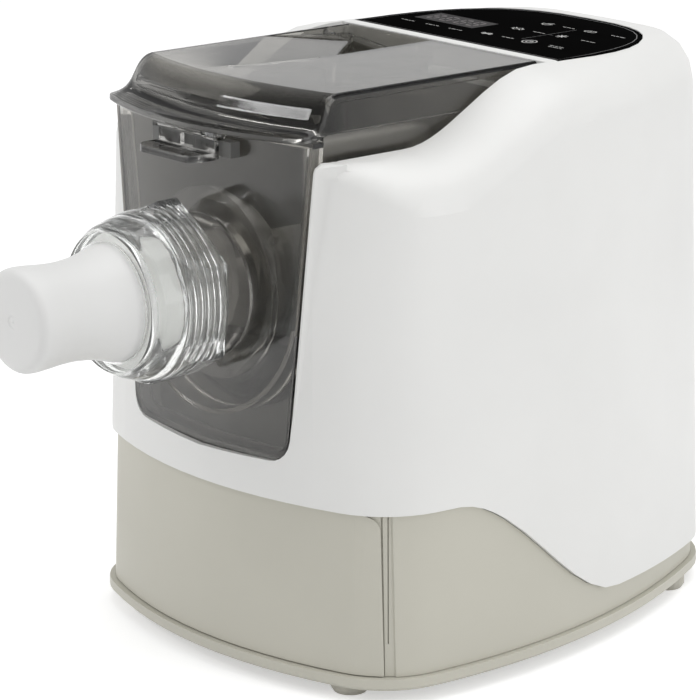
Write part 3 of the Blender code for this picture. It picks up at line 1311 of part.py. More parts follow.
def lip_points(share, inset):
    """The lid's front at a share of its half width, from its bend over the S to the lip's edge.
    The lip is bowed, and its ends are rounded back."""
    bow = share * share
    past = max(0, LID_HALF * abs(share) - LID_HALF + LIP_CORNER_R)
    back = LIP_CORNER_R - math.sqrt(LIP_CORNER_R ** 2 - past ** 2)
    bend = LID_BEND_Y + LID_BEND_SAG * bow + inset
    tip = LIP_TIP_Y + LIP_TIP_SAG * bow + back + inset
    top = TOP_Z - inset
    return [(bend + (tip - bend) * along, LID_SKIRT_Z + (top - LID_SKIRT_Z) * up)
            for along, up in LIP_SHAPE_SHARES]


def lid_slice(share):
    points = lip_points(share, 0)
    wall_y = points[4][0]
    heel = arc((LID_PIVOT_Y, LID_PIVOT_Z), LID_HEEL_R, -math.pi / 2,
               -math.acos((LID_REAR_Y - LID_PIVOT_Y) / LID_HEEL_R), 4)
    section = [(LID_REAR_Y, TOP_Z)] + points
    section += [(points[-1][0], LID_SKIRT_Z - LIP_TIP_T), (wall_y, LID_SKIRT_Z)]
    section += heel
    return [(share * lid_half(z), y, z) for y, z in section]


def lid_hollow_slice(share):
    points = lip_points(share, LID_WALL)[:5]
    low = LID_SKIRT_Z - OVERRUN
    section = [(LID_REAR_Y - LID_WALL, TOP_Z - LID_WALL)] + points
    section += [(points[-1][0], low), (LID_REAR_Y - LID_WALL, low)]
    return [(share * (lid_half(z) - LID_WALL), y, z) for y, z in section]


def funnel_points(grow):
    """The hopper from above: a triangle between the lid's rear edge, its flat side and a crease."""
    rear = FUNNEL_REAR_Y + grow
    right = TROUGH_EDGE_X - FUNNEL_WALL + grow
    left = FUNNEL_LEFT_X - 2 * grow
    front = FUNNEL_FRONT_Y - 2 * grow
    return [(left, rear), (right, rear), (right, front), (right - FUNNEL_TIP, front)]


def trough_floor(x, y):
    """The feed side falls away from a fold that crosses the lid to the slit's front end."""
    run = Vector((SLIT_FRONT_X - TROUGH_LEFT_X, SLIT_FRONT_Y - FOLD_LEFT_Y))
    across = Vector((-run.y, run.x)).normalized()
    away = across.dot(Vector((x - TROUGH_LEFT_X, y - FOLD_LEFT_Y)))
    deepest = across.dot(Vector((TROUGH_EDGE_X - TROUGH_LEFT_X, FUNNEL_FRONT_Y - FOLD_LEFT_Y)))
    return TOP_Z - TROUGH_DEPTH * away / deepest


def trough(name, wall, joint):
    """The space above the sloping feed side, or that space lowered by the wall."""
    edge = TROUGH_EDGE_X + wall
    plan = [(TROUGH_LEFT_X, LID_REAR_Y - LID_WALL / 2), (edge, LID_REAR_Y - LID_WALL / 2),
            (edge, FUNNEL_FRONT_Y), (SLIT_FRONT_X + wall, SLIT_FRONT_Y), (TROUGH_LEFT_X, FOLD_LEFT_Y)]
    space = outline_solid(name, plan, "z", 0, TOP_Z + OVERRUN, None, joint)
    for vert in space.data.vertices:
        if vert.co.z < TOP_Z:
            vert.co.z = trough_floor(vert.co.x, vert.co.y) - wall
    return space


def lid():
    hinge = joint_empty("lid_hinge", LID_PIVOT_Y, LID_PIVOT_Z)
    shares = [-s for s in reversed(LID_SLICE_SHARES[1:])] + list(LID_SLICE_SHARES)
    hood = skin("lid", [lid_slice(s) for s in shares], SMOKE, hinge)
    hollow = skin("lid_hollow", [lid_hollow_slice(s) for s in shares], None, hinge)
    cut(hollow, trough("trough_roof", LID_WALL, hinge))
    cut(hood, hollow)
    top = TOP_Z + OVERRUN
    tube = outline_solid("funnel_tube", funnel_points(FUNNEL_WALL), "z", LID_SKIRT_Z,
                         TOP_Z - LID_WALL / 2, None, hinge)
    throat = outline_solid("funnel_throat", funnel_points(0), "z", LID_SKIRT_Z + FUNNEL_WALL, top,
                           None, hinge)
    pitch = (FUNNEL_REAR_Y - FUNNEL_FRONT_Y) / (FUNNEL_BARS + 1)
    feed = boxes("feed_slots", [
        ((TROUGH_EDGE_X - FUNNEL_WALL - pitch * (i + 1), FUNNEL_FRONT_Y + pitch * (i + 1), 0),
         (TROUGH_EDGE_X - 2 * FUNNEL_WALL, FUNNEL_FRONT_Y + pitch * (i + 2) - FEED_BAR, TOP_Z))
        for i in range(FUNNEL_BARS)
    ], None, hinge)
    slit = outline_solid("water_slit", [
        (TROUGH_EDGE_X, FUNNEL_FRONT_Y - OVERRUN), (SLIT_FRONT_X, SLIT_FRONT_Y),
        (SLIT_FRONT_X - SLIT_W, SLIT_FRONT_Y), (TROUGH_EDGE_X - SLIT_W, FUNNEL_FRONT_Y - OVERRUN),
    ], "z", 0, top, None, hinge)
    pins = rod("lid_pin_holes", "x", (0, LID_PIVOT_Y, LID_PIVOT_Z), -LID_HALF - OVERRUN, LID_HALF + OVERRUN,
               LID_PIN_R + GAP, 12, None, hinge)
    lug = LATCH_HALF + GAP + GAP
    lugs = boxes("latch_lugs", [
        ((low, LATCH_PIN_Y - THIN, LATCH_PIN_Z - THIN), (low + THIN, LATCH_PIN_Y + THIN, LID_SKIRT_Z + GAP))
        for low in (-lug - THIN, lug)
    ], None, hinge)
    lug_holes = rod("lug_holes", "x", (0, LATCH_PIN_Y, LATCH_PIN_Z), -LID_HALF, LID_HALF,
                    LATCH_PIN_R + GAP, 10, None, hinge)
    fuse(hood, tube)
    cut(hood, trough("trough_space", 0, hinge), throat, feed, slit, pins)
    fuse(hood, lugs)
    cut(hood, lug_holes)
    for side, name in ((-1, "left"), (1, "right")):
        ends = sorted((side * (LID_HALF - LID_FLARE - LID_WALL), side * (WELL_HALF + WALL + THIN)))
        rod("lid_hinge_pin_" + name, "x", (0, LID_PIVOT_Y, LID_PIVOT_Z), ends[0], ends[1], LID_PIN_R, 12,
            STEEL)
    return hinge


# Latch: a leaf with a finger tab and a square hole, hanging on its pin under the lip
def lid_latch(hinge):
    swing = joint_empty("latch_swing", LATCH_PIN_Y, LATCH_PIN_Z)
    barrel_r = LATCH_PIN_R + GAP + LATCH_T / 2
    half_t = LATCH_T / 2
    leaf = box("lid_latch", (-LATCH_HALF, LATCH_PIN_Y - half_t, LATCH_LOW_Z),
               (LATCH_HALF, LATCH_PIN_Y + half_t, LATCH_PIN_Z), SMOKE, swing)
    tab_mid = (0, TAB_FRONT_Y + TAB_CORNER_R)
    corner = LATCH_HALF - TAB_CORNER_R
    front = arc((corner, tab_mid[1]), TAB_CORNER_R, 0, -math.pi / 2, 5)
    outline = [(LATCH_HALF, LATCH_PIN_Y)] + front + [(-x, y) for x, y in reversed(front)]
    outline.append((-LATCH_HALF, LATCH_PIN_Y))
    tab = outline_solid("latch_tab", outline, "z", LATCH_LOW_Z - GAP, LATCH_LOW_Z + TAB_T, None, swing)
    roll_end = LATCH_HALF - SPRING_LENGTH - WALL
    roll = rod("latch_roll", "x", (0, LATCH_PIN_Y, LATCH_PIN_Z), -LATCH_HALF, roll_end, barrel_r, 14, None,
               swing)
    room = box("spring_room", (roll_end, LATCH_PIN_Y - WALL, LATCH_PIN_Z - barrel_r - GAP),
               (LATCH_HALF + OVERRUN, LATCH_PIN_Y + WALL, TOP_Z), None, swing)
    pin_hole = rod("latch_pin_hole", "x", (0, LATCH_PIN_Y, LATCH_PIN_Z), -LID_HALF, LID_HALF,
                   LATCH_PIN_R + GAP, 10, None, swing)
    hole_z = LATCH_LOW_Z + TAB_T + GAP
    hole = box("square_hole", (-HOLE_HALF, LATCH_PIN_Y - WALL, hole_z),
               (HOLE_HALF, LATCH_PIN_Y + WALL, LATCH_PIN_Z - barrel_r - GAP), None, swing)
    fuse(leaf, tab, roll)
    cut(leaf, room, pin_hole, hole)
    rod("latch_pin", "x", (0, LATCH_PIN_Y, LATCH_PIN_Z), -LATCH_HALF - THIN, LATCH_HALF + THIN,
        LATCH_PIN_R, 12, STEEL, hinge)
    curve = bpy.data.curves.new("latch_spring", "CURVE")
    curve.dimensions = "3D"
    curve.bevel_depth = SPRING_WIRE
    curve.bevel_resolution = 0
    curve.use_fill_caps = True
    line = curve.splines.new("POLY")
    count = SPRING_TURNS * SPRING_STEPS
    line.points.add(count)
    coil_r = LATCH_PIN_R + GAP + SPRING_WIRE
    for i, spot in enumerate(line.points):
        turn = 2 * math.pi * i / SPRING_STEPS
        x = LATCH_HALF - GAP - SPRING_WIRE - SPRING_LENGTH * i / count
        spot.co = (x, LATCH_PIN_Y + coil_r * math.cos(turn), LATCH_PIN_Z + coil_r * math.sin(turn), 1)
    spring = bpy.data.objects.new("latch_spring", curve)
    PARTS.objects.link(spring)
    curve.materials.append(STEEL)
    spring.parent = hinge
    spring.matrix_parent_inverse = Matrix.Translation(-hinge.location)


# Lid switch on the back of the well's wall, with the plunger that the lid presses
def lid_switch():
    low_y = BULKHEAD_Y + GAP
    body = box("lid_switch",
               (SWITCH_X - SWITCH_WIDE / 2, low_y, SWITCH_Z - SWITCH_TALL * (1 - SWITCH_ABOVE_SHARE)),
               (SWITCH_X + SWITCH_WIDE / 2, low_y + SWITCH_LONG, SWITCH_Z + SWITCH_TALL * SWITCH_ABOVE_SHARE),
               DARK)
    depth = low_y + THIN + PLUNGER_TRAVEL + 2 * GAP
    cut(body, rod("switch_bore", "y", (SWITCH_X, 0, SWITCH_Z), 0, depth, PLUNGER_R + GAP, 12))
    press = joint_empty("switch_press", LID_REAR_Y, SWITCH_Z)
    rod("switch_plunger", "y", (SWITCH_X, 0, SWITCH_Z), WELL_REAR_Y - GAP, low_y + THIN - GAP,
        PLUNGER_R, 12, PALE, press)


# Power board, upright between rails on the base plate
def power_board():
    x = POWER_BOARD_X
    y0 = BULKHEAD_Y + POWER_BOARD_STEP
    y1 = y0 + POWER_BOARD_LONG
    foot = PLATE_TOP_Z + GAP
    board = box("power_board", (x, y0, foot), (x + BOARD_T, y1, foot + POWER_BOARD_TALL), BOARD)
    for i, (along_share, up_share, size_share) in enumerate(COMPONENT_SHARES):
        size = size_share * POWER_BOARD_LONG
        cy = y0 + along_share * POWER_BOARD_LONG
        cz = foot + up_share * POWER_BOARD_TALL
        fuse(board, box("component_%d" % i, (x + BOARD_T / 2, cy - size / 2, cz - size / 2),
                        (x + BOARD_T + size, cy + size / 2, cz + size / 2)))
    rails = boxes("board_rails", [
        ((low, y - WALL, PLATE_TOP_Z - GAP), (low + RAIL_T, y + WALL, foot + 4 * RAIL_T))
        for low in (x - GAP - RAIL_T, x + BOARD_T + GAP)
        for y in (y0 + WALL, y1 - WALL)
    ])
    fuse(bpy.data.objects["base_plate"], rails)


# Cord gland: a rubber bush through the rear wall, trimmed to the wall's curve
def cord_gland():
    wall = [p for p in body_outline(GLAND_Z, -SHELL_PROUD) if p[1] > PANEL_FRONT_Y + PANEL_LENGTH / 2]
    y = min(wall, key=lambda p: abs(p[0] - GLAND_X))[1]
    gland = turned("cord_gland", [
        (GLAND_R / 2, y - 3 * WALL), (GLAND_R, y - 3 * WALL), (GLAND_R, y - WALL),
        (GLAND_FLANGE_R, y - WALL), (GLAND_FLANGE_R, y + WALL / 2), (GLAND_R, y + WALL),
        (GLAND_R / 2, y + WALL),
    ], GLAND_Z, RUBBER, sides=20, x=GLAND_X)
    solid = loft("gland_trim", [body_ring(0, -SHELL_PROUD - GAP), body_ring(TOP_Z, -SHELL_PROUD - GAP)])
    cut(solid, rod("gland_core", "y", (GLAND_X, 0, GLAND_Z), 0, REAR_Y + OVERRUN, GLAND_R + GAP / 2, 20))
    cut(gland, solid)


# Screws that close the base, up through the plate into the posts
def base_screws():
    top = SEAM_REAR_Z - THIN
    neck = FLOOR_GAP + PLATE_T / 2 - GAP
    head = FLOOR_GAP + PLATE_T / 6
    upright_copies("base_screw", [
        (0, top), (SCREW_R, top), (SCREW_R, neck), (2 * SCREW_R, neck), (2 * SCREW_R, head), (0, head),
    ], post_centres(), STEEL, 12)


upper_housing()
control_panel()
base()
storage_drawer()
mixing_bowl()
front_plate()
extrusion_barrel()
lock_nut()
die_and_cap()
drive_line()
motor(gear_train())
gearbox()
lid_latch(lid())
lid_switch()
power_board()
cord_gland()
base_screws()
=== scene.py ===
"""An electric pasta maker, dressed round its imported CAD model."""

import json
import math

import bmesh
import bpy
import numpy as np
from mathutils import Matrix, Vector


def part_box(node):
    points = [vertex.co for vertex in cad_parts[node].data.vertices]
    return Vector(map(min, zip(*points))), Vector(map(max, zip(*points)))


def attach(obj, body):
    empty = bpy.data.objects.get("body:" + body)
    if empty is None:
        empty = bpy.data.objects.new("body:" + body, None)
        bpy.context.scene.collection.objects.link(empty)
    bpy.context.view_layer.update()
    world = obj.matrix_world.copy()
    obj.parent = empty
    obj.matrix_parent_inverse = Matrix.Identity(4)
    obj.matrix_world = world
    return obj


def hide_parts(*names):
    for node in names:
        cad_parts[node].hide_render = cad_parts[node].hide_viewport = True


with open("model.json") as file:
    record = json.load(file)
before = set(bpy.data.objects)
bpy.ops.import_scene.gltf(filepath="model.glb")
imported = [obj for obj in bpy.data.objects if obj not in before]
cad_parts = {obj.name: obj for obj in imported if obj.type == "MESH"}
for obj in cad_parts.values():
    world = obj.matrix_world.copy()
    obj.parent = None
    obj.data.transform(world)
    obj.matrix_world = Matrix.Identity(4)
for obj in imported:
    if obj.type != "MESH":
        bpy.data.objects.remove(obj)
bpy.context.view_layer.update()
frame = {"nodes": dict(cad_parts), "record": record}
scene = bpy.context.scene

# Camera: at the photograph's viewing angle, above the machine's front right corner.
# Its place and lens were found from the edges of the base, the window, the lid and the panel.


def placed(name, data):
    """A new object in the scene, at the origin."""
    thing = bpy.data.objects.new(name, data)
    scene.collection.objects.link(thing)
    return thing


view_turn = math.radians(49.516)
view_tilt = math.radians(15.347)
camera_data = bpy.data.cameras.new("camera")
camera_data.lens = 177.8
camera_data.sensor_width = 36
camera = placed("camera", camera_data)
camera.location = (1.26959, -1.08059, 0.59853)
camera.rotation_euler = (math.pi / 2 - view_tilt, 0, view_turn)
scene.camera = camera

# Studio: a white floor and an even white surround, as round a product on a light table.
# The floor shows nearly white to the camera and to reflections, and still takes the shadow.
scene.view_settings.view_transform = "Standard"


def surface(name, points):
    """A mesh from a grid of points: each square of the grid becomes a quad. Points that fall on each
    other are merged, so seams and poles close, and closed forms get outward normals."""
    rows, columns = points.shape[:2]
    index = np.arange(rows * columns).reshape(rows, columns)
    quads = np.stack([index[:-1, :-1], index[1:, :-1], index[1:, 1:], index[:-1, 1:]], axis=-1)
    mesh = bpy.data.meshes.new(name)
    mesh.from_pydata(points.reshape(-1, 3).tolist(), [], quads.reshape(-1, 4).tolist())
    made = bmesh.new()
    made.from_mesh(mesh)
    bmesh.ops.remove_doubles(made, verts=made.verts, dist=1e-6)
    bmesh.ops.dissolve_degenerate(made, edges=made.edges, dist=1e-7)
    if not any(edge.is_boundary for edge in made.edges):
        bmesh.ops.recalc_face_normals(made, faces=made.faces)
    made.to_mesh(mesh)
    made.free()
    mesh.shade_smooth()
    mesh.set_sharp_from_angle(angle=math.radians(40))
    return placed(name, mesh)


def reckon(tree, how, *terms):
    """A Math node's result. Each term is a number or another node's output."""
    node = tree.nodes.new("ShaderNodeMath")
    node.operation = how
    for socket, term in zip(node.inputs, terms):
        if isinstance(term, bpy.types.NodeSocket):
            tree.links.new(term, socket)
        else:
            socket.default_value = term
    return node.outputs[0]


def ramp(tree, value, start, end, low=0.0, high=1.0, shape="LINEAR"):
    """A Map Range node's result: it goes from low to high while the value goes from start to end."""
    node = tree.nodes.new("ShaderNodeMapRange")
    node.interpolation_type = shape
    tree.links.new(value, node.inputs["Value"])
    for label, at in (("From Min", start), ("From Max", end), ("To Min", low), ("To Max", high)):
        node.inputs[label].default_value = at
    return node.outputs["Result"]


def coordinates(tree, kind):
    """The X, Y and Z outputs of one kind of texture coordinates."""
    place = tree.nodes.new("ShaderNodeTexCoord")
    axes = tree.nodes.new("ShaderNodeSeparateXYZ")
    tree.links.new(place.outputs[kind], axes.inputs[0])
    return axes.outputs


def plainly_seen(tree):
    """A Light Path node, and 1 on rays that show a thing to the camera, through glass or in a gloss."""
    path = tree.nodes.new("ShaderNodeLightPath")
    seen = reckon(tree, "MAXIMUM", path.outputs["Is Camera Ray"], path.outputs["Is Transmission Ray"])
    return path, reckon(tree, "MAXIMUM", seen, path.outputs["Is Glossy Ray"])


floor_reach = (-12.0, 12.0)
floor = surface("floor", np.array([[(x, y, 0.0) for y in floor_reach] for x in floor_reach]))
floor_finish = bpy.data.materials.new("white_floor")
floor_finish.use_nodes = True
tree = floor_finish.node_tree
shader = tree.nodes["Principled BSDF"]
shader.inputs["Base Color"].default_value = (0.82, 0.82, 0.82, 1)
shader.inputs["Roughness"].default_value = 1
shader.inputs["Specular IOR Level"].default_value = 0
shader.inputs["Emission Color"].default_value = (1, 1, 1, 1)
_, seen = plainly_seen(tree)
floor_glow = 0.45
tree.links.new(reckon(tree, "MULTIPLY", seen, floor_glow), shader.inputs["Emission Strength"])
floor.data.materials.append(floor_finish)

# The surround lights the object a little less than it shows. In a gloss it is white up to a little above
# the horizon, and dims to a grey ceiling over that.
surround_light, ceiling_grey = 0.62, 0.30
dims_from, dims_to = 0.08, 0.42
world = bpy.data.worlds.new("surround")
scene.world = world
world.use_nodes = True
tree = world.node_tree
background = tree.nodes["Background"]
background.inputs["Color"].default_value = (1, 1, 1, 1)
path, seen = plainly_seen(tree)
level = ramp(tree, seen, 0, 1, surround_light, 1)
ceiling = ramp(tree, coordinates(tree, "Generated")["Z"], dims_from, dims_to, 1, ceiling_grey)
mirrored = tree.nodes.new("ShaderNodeMix")
mirrored.data_type = "FLOAT"
tree.links.new(path.outputs["Is Glossy Ray"], mirrored.inputs["Factor"])
tree.links.new(level, mirrored.inputs["A"])
tree.links.new(ceiling, mirrored.inputs["B"])
tree.links.new(mirrored.outputs["Result"], background.inputs["Strength"])


def softbox(name, place, aim, wide, tall, power, roll=0.0):
    """A rectangular studio lamp at a place, turned to shine at the point that it aims at and rolled by an
    angle in degrees."""
    data = bpy.data.lights.new(name, "AREA")
    data.shape = "RECTANGLE"
    data.size = wide
    data.size_y = tall
    data.energy = power
    lamp = placed(name, data)
    lamp.location = place
    lamp.rotation_euler = (Vector(aim) - Vector(place)).to_track_quat("-Z", "Y").to_euler()
    lamp.rotation_euler.rotate_axis("Z", math.radians(roll))


middle = (0, 0, 0.15)
softbox("top_softbox", (0.2, 0.3, 1.9), middle, wide=1.6, tall=1.6, power=12)
softbox("right_softbox", (1.9, 0.4, 0.9), middle, wide=1.2, tall=1.5, power=7.5)
softbox("front_softbox", (-1.15, -1.7, 0.8), middle, wide=0.8, tall=1.4, power=2.6)
softbox("strip_softbox", (-0.92, -1.34, 1.48), middle, wide=1.15, tall=0.11, power=4.6, roll=11)

# Upper housing: the white shell, injection moulded in ABS with a satin spark-eroded texture.
# One moulding with the well for the bowl, the window and the seat for the panel.


def new_group(name, inputs, outputs):
    """An empty shader node group with the named inputs (name, type, value) and outputs (name, type)."""
    tree = bpy.data.node_groups.new(name, "ShaderNodeTree")
    for label, kind, value in inputs:
        socket = tree.interface.new_socket(label, in_out="INPUT", socket_type="NodeSocket" + kind)
        socket.default_value = value
    for label, kind in outputs:
        tree.interface.new_socket(label, in_out="OUTPUT", socket_type="NodeSocket" + kind)
    return tree, tree.nodes.new("NodeGroupInput"), tree.nodes.new("NodeGroupOutput")


# Moulded skin: fine eroded grain, a faint mottle in the colour and an uneven gloss, as on moulded plastic.
skin, skin_in, skin_out = new_group(
    "moulded_skin",
    [("Colour", "Color", (0.8, 0.8, 0.8, 1)), ("Roughness", "Float", 0.4), ("Grain Scale", "Float", 1100),
     ("Mottle", "Float", 0.03)],
    [("Colour", "Color"), ("Roughness", "Float"), ("Height", "Float")])
place = skin.nodes.new("ShaderNodeTexCoord")
grain = skin.nodes.new("ShaderNodeTexNoise")
grain.inputs["Detail"].default_value = 2
skin.links.new(place.outputs["Object"], grain.inputs["Vector"])
skin.links.new(skin_in.outputs["Grain Scale"], grain.inputs["Scale"])
skin.links.new(grain.outputs["Fac"], skin_out.inputs["Height"])
cloud = skin.nodes.new("ShaderNodeTexNoise")
cloud.inputs["Scale"].default_value = 14
cloud.inputs["Detail"].default_value = 4
skin.links.new(place.outputs["Object"], cloud.inputs["Vector"])
shade = ramp(skin, cloud.outputs["Fac"], 0.3, 0.7)
dimming = reckon(skin, "MULTIPLY", shade, skin_in.outputs["Mottle"])
tone = skin.nodes.new("ShaderNodeHueSaturation")
skin.links.new(reckon(skin, "SUBTRACT", 1, dimming), tone.inputs["Value"])
skin.links.new(skin_in.outputs["Colour"], tone.inputs["Color"])
skin.links.new(tone.outputs["Color"], skin_out.inputs["Colour"])
roughness_spread = 0.08
uneven = reckon(skin, "MULTIPLY_ADD", shade, roughness_spread, skin_in.outputs["Roughness"])
skin.links.new(uneven, skin_out.inputs["Roughness"])


def skinned(name, colour, rough, grain_scale, mottle):
    """A new material with the moulded skin's colour and roughness, and the skin's height beside it."""
    finish = bpy.data.materials.new(name)
    finish.use_nodes = True
    tree = finish.node_tree
    shader = tree.nodes["Principled BSDF"]
    cover = tree.nodes.new("ShaderNodeGroup")
    cover.node_tree = skin
    cover.inputs["Colour"].default_value = (*colour, 1)
    cover.inputs["Roughness"].default_value = rough
    cover.inputs["Grain Scale"].default_value = grain_scale
    cover.inputs["Mottle"].default_value = mottle
    tree.links.new(cover.outputs["Colour"], shader.inputs["Base Color"])
    tree.links.new(cover.outputs["Roughness"], shader.inputs["Roughness"])
    return finish, cover.outputs["Height"]


def bumped(finish, height, strength, distance):
    """Turn a material's normals with a height's slope."""
    tree = finish.node_tree
    bump = tree.nodes.new("ShaderNodeBump")
    bump.inputs["Strength"].default_value = strength
    bump.inputs["Distance"].default_value = distance
    tree.links.new(height, bump.inputs["Height"])
    tree.links.new(bump.outputs["Normal"], tree.nodes["Principled BSDF"].inputs["Normal"])


def moulded(name, colour, rough, grain_scale=1100, relief=0.02, mottle=0.03):
    """A moulded plastic: the skin group drives colour, roughness and a bump of the given strength."""
    finish, height = skinned(name, colour, rough, grain_scale, mottle)
    bumped(finish, height, strength=relief, distance=0.0004)
    return finish


def dress(finish, *names):
    """Give CAD nodes a finish in place of the one that they were packed with."""
    for name in names:
        node = frame["nodes"][name]
        if not node.material_slots:
            node.data.materials.append(finish)
        for held in node.material_slots:
            held.material = finish


def shaded(piece, smooth_to):
    """Shade a piece smooth where its faces meet under an angle in degrees. Large faces lead the normals."""
    piece.data.shade_smooth()
    piece.data.set_sharp_from_angle(angle=math.radians(smooth_to))
    even = piece.modifiers.new("even_normals", "WEIGHTED_NORMAL")
    even.keep_sharp = True


def stand_for(piece, node, body, finish):
    """Put a new piece in a CAD node's place, with its finish and on its body."""
    piece.data.materials.clear()
    piece.data.materials.append(finish)
    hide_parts(node)
    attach(piece, body)


def finer(name, finish, edge=0):
    """A copy of a CAD node that stands for it: its loose triangles are merged into whole facets, its sharp
    edges are rounded by the edge width, and its round parts are shaded smooth."""
    made = bmesh.new()
    made.from_mesh(frame["nodes"][name].data)
    bmesh.ops.remove_doubles(made, verts=made.verts, dist=1e-5)
    bmesh.ops.dissolve_limit(made, angle_limit=math.radians(0.4), verts=made.verts, edges=made.edges)
    mesh = bpy.data.meshes.new(name + "_skin")
    made.to_mesh(mesh)
    made.free()
    piece = placed(name + "_skin", mesh)
    if edge:
        soft = piece.modifiers.new("soft_edges", "BEVEL")
        soft.width = edge
        soft.segments = 2
        soft.limit_method = "ANGLE"
        soft.angle_limit = math.radians(50)
    shaded(piece, 35)
    body = next(body for body, held in frame["record"]["behaviour"]["bodies"].items() if name in held)
    stand_for(piece, name, body, finish)
    return piece


white_shell = moulded("white_shell", (0.84, 0.84, 0.825), rough=0.38)
finer("upper_housing", white_shell, edge=0.0004)

# Base: skirt, bottom plate and drawer, moulded in warm grey ABS. The skirt screws up into the shell,
# and the drawer slides in the bay between them.
warm_grey = moulded("warm_grey_base", (0.585, 0.57, 0.495), rough=0.42)
base_skin = finer("base_housing", warm_grey, edge=0.0004)
finer("base_plate", warm_grey, edge=0.0006)
finer("storage_drawer", warm_grey, edge=0.0010)


def capped(name, rings):
    """A closed body over rings of points, one row for each ring, with a face over each end ring."""
    piece = surface(name, np.concatenate([rings, rings[:, :1]], axis=1))
    made = bmesh.new()
    made.from_mesh(piece.data)
    bmesh.ops.holes_fill(made, edges=[edge for edge in made.edges if edge.is_boundary])
    bmesh.ops.recalc_face_normals(made, faces=made.faces)
    made.to_mesh(piece.data)
    made.free()
    return piece


def joined(piece, how, *others):
    """The Boolean of closed pieces, applied to the first one's mesh. The others are used up."""
    for other in others:
        plain = placed("plain", piece.data)
        step = plain.modifiers.new("joined", "BOOLEAN")
        step.operation = how
        step.solver = "EXACT"
        step.object = other
        bpy.context.view_layer.update()
        result = plain.evaluated_get(bpy.context.evaluated_depsgraph_get())
        piece.data = bpy.data.meshes.new_from_object(result)
        bpy.data.objects.remove(plain, do_unlink=True)
        bpy.data.objects.remove(other, do_unlink=True)


# A parting groove runs down beside the drawer, and a shorter one behind it, across the rounded corner.
corner_out, corner_along = np.array([0.779, -0.626]), np.array([0.626, 0.779])
outside_corner = 0.003


def corner_groove(name, side, low, high, wide, deep):
    """A cutter for a groove in the base's front corner, from a low to a high point (x, y, z). Its section
    is a rectangle across the corner's face, from its depth inside the face to a point outside it."""
    rings = []
    for x, y, z in (low, high):
        section = [np.array([x, y]) + corner_out * out + corner_along * hand for out, hand in (
            (-deep, -wide / 2), (outside_corner, -wide / 2), (outside_corner, wide / 2), (-deep, wide / 2))]
        rings.append([(side * at[0], at[1], z) for at in section])
    return capped(name, np.array(rings))


# Each groove has a name, its low and high ends on the right corner's face, a width and a depth.
grooves = (("drawer_line", (0.10484, -0.06495, 0.0100), (0.10190, -0.06443, 0.1000), 0.0008, 0.0016),
           ("corner_line", (0.10562, -0.06313, 0.0295), (0.10372, -0.06189, 0.1000), 0.0006, 0.0014))
for side in (-1, 1):
    for name, low, high, wide, deep in grooves:
        joined(base_skin, "DIFFERENCE", corner_groove(name, side, low, high, wide, deep))

# Inner frame: bay, deck and bowl cradle in one grey polypropylene moulding, screwed into the shell.
# The mixing auger is moulded in one, in a paler grey, and slides onto the drive shaft.
frame_plastic = moulded("frame_plastic", (0.30, 0.30, 0.29), rough=0.5, mottle=0.05)
dress(frame_plastic, "inner_frame")
auger_plastic = moulded("auger_plastic", (0.76, 0.75, 0.72), rough=0.45, mottle=0.05)
dress(auger_plastic, "mixing_auger")

# Feet, motor saddle and cord gland: moulded rubber, pushed over studs or held by their collars. The feet
# are a pale warm grey, and the others are black.
rubber = moulded("rubber", (0.035, 0.035, 0.035), rough=0.72, grain_scale=600, relief=0.12, mottle=0.2)
dress(rubber, "motor_saddle", "cord_gland")
foot_rubber = moulded("foot_rubber", (0.62, 0.60, 0.53), rough=0.65, grain_scale=600, relief=0.08,
                      mottle=0.12)
dress(foot_rubber, "rubber_foot_1", "rubber_foot_2", "rubber_foot_3", "rubber_foot_4")

# Control panel: a black acrylic plate with a polished face, printed from behind. It is bonded into the seat
# in the shell's top, over the touch board.
panel_black = moulded("panel_glass", (0.004, 0.004, 0.004), rough=0.16, grain_scale=40, relief=0.01,
                      mottle=0.3)
panel_black.node_tree.nodes["Principled BSDF"].inputs["Specular IOR Level"].default_value = 0.0
finer("control_panel_glass", panel_black)
glass_low, glass_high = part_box("control_panel_glass")
panel_top = glass_high.z
panel_y = glass_low.y


def ribbons(name, lines, height):
    """Printed lines: each is a row of (x, y) points and a width. Every point is moved to both sides along
    the mean of its two neighbours' normals by half the width, which gives a flat ribbon at the height."""
    corners, quads, start = [], [], 0
    for points, width in lines:
        path = np.asarray(points, float)
        along = np.gradient(path, axis=0)
        if np.allclose(path[0], path[-1]):
            along[0] = along[-1] = path[1] - path[-2]
        normal = np.stack([-along[:, 1], along[:, 0]], axis=1)
        normal *= width / 2 / np.linalg.norm(normal, axis=1)[:, None]
        both = np.stack([path - normal, path + normal], axis=1).reshape(-1, 2)
        corners.append(np.column_stack([both, np.full(len(both), height)]))
        first = start + 2 * np.arange(len(path) - 1)
        quads.append(np.stack([first, first + 2, first + 3, first + 1], axis=1))
        start += len(both)
    mesh = bpy.data.meshes.new(name)
    mesh.from_pydata(np.concatenate(corners).tolist(), [], np.concatenate(quads).tolist())
    mesh.update()
    piece = placed(name, mesh)
    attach(piece, "body")
    return piece


def arc(centre, size, start=0, end=360, count=25):
    """Points on part of a circle round a centre, from one angle to another in degrees."""
    turn = np.radians(np.linspace(start, end, count))[:, None]
    return np.asarray(centre) + size * np.hstack([np.cos(turn), np.sin(turn)])


def wave(centre, long, high):
    """Points on one and a half sine waves along X."""
    at = np.linspace(-0.5, 0.5, 25)
    return np.stack([centre[0] + long * at, centre[1] + high * np.sin(3 * math.pi * at)], axis=1)


def bars(centre, lengths):
    """Short printed bars in a row, evenly spaced about a centre, as key marks without words."""
    space = 0.0007
    starts = centre[0] + np.cumsum([0, *lengths[:-1]]) + space * np.arange(len(lengths))
    starts -= (sum(lengths) + space * (len(lengths) - 1)) / 2
    return [[(start, centre[1]), (start + length, centre[1])] for start, length in zip(starts, lengths)]


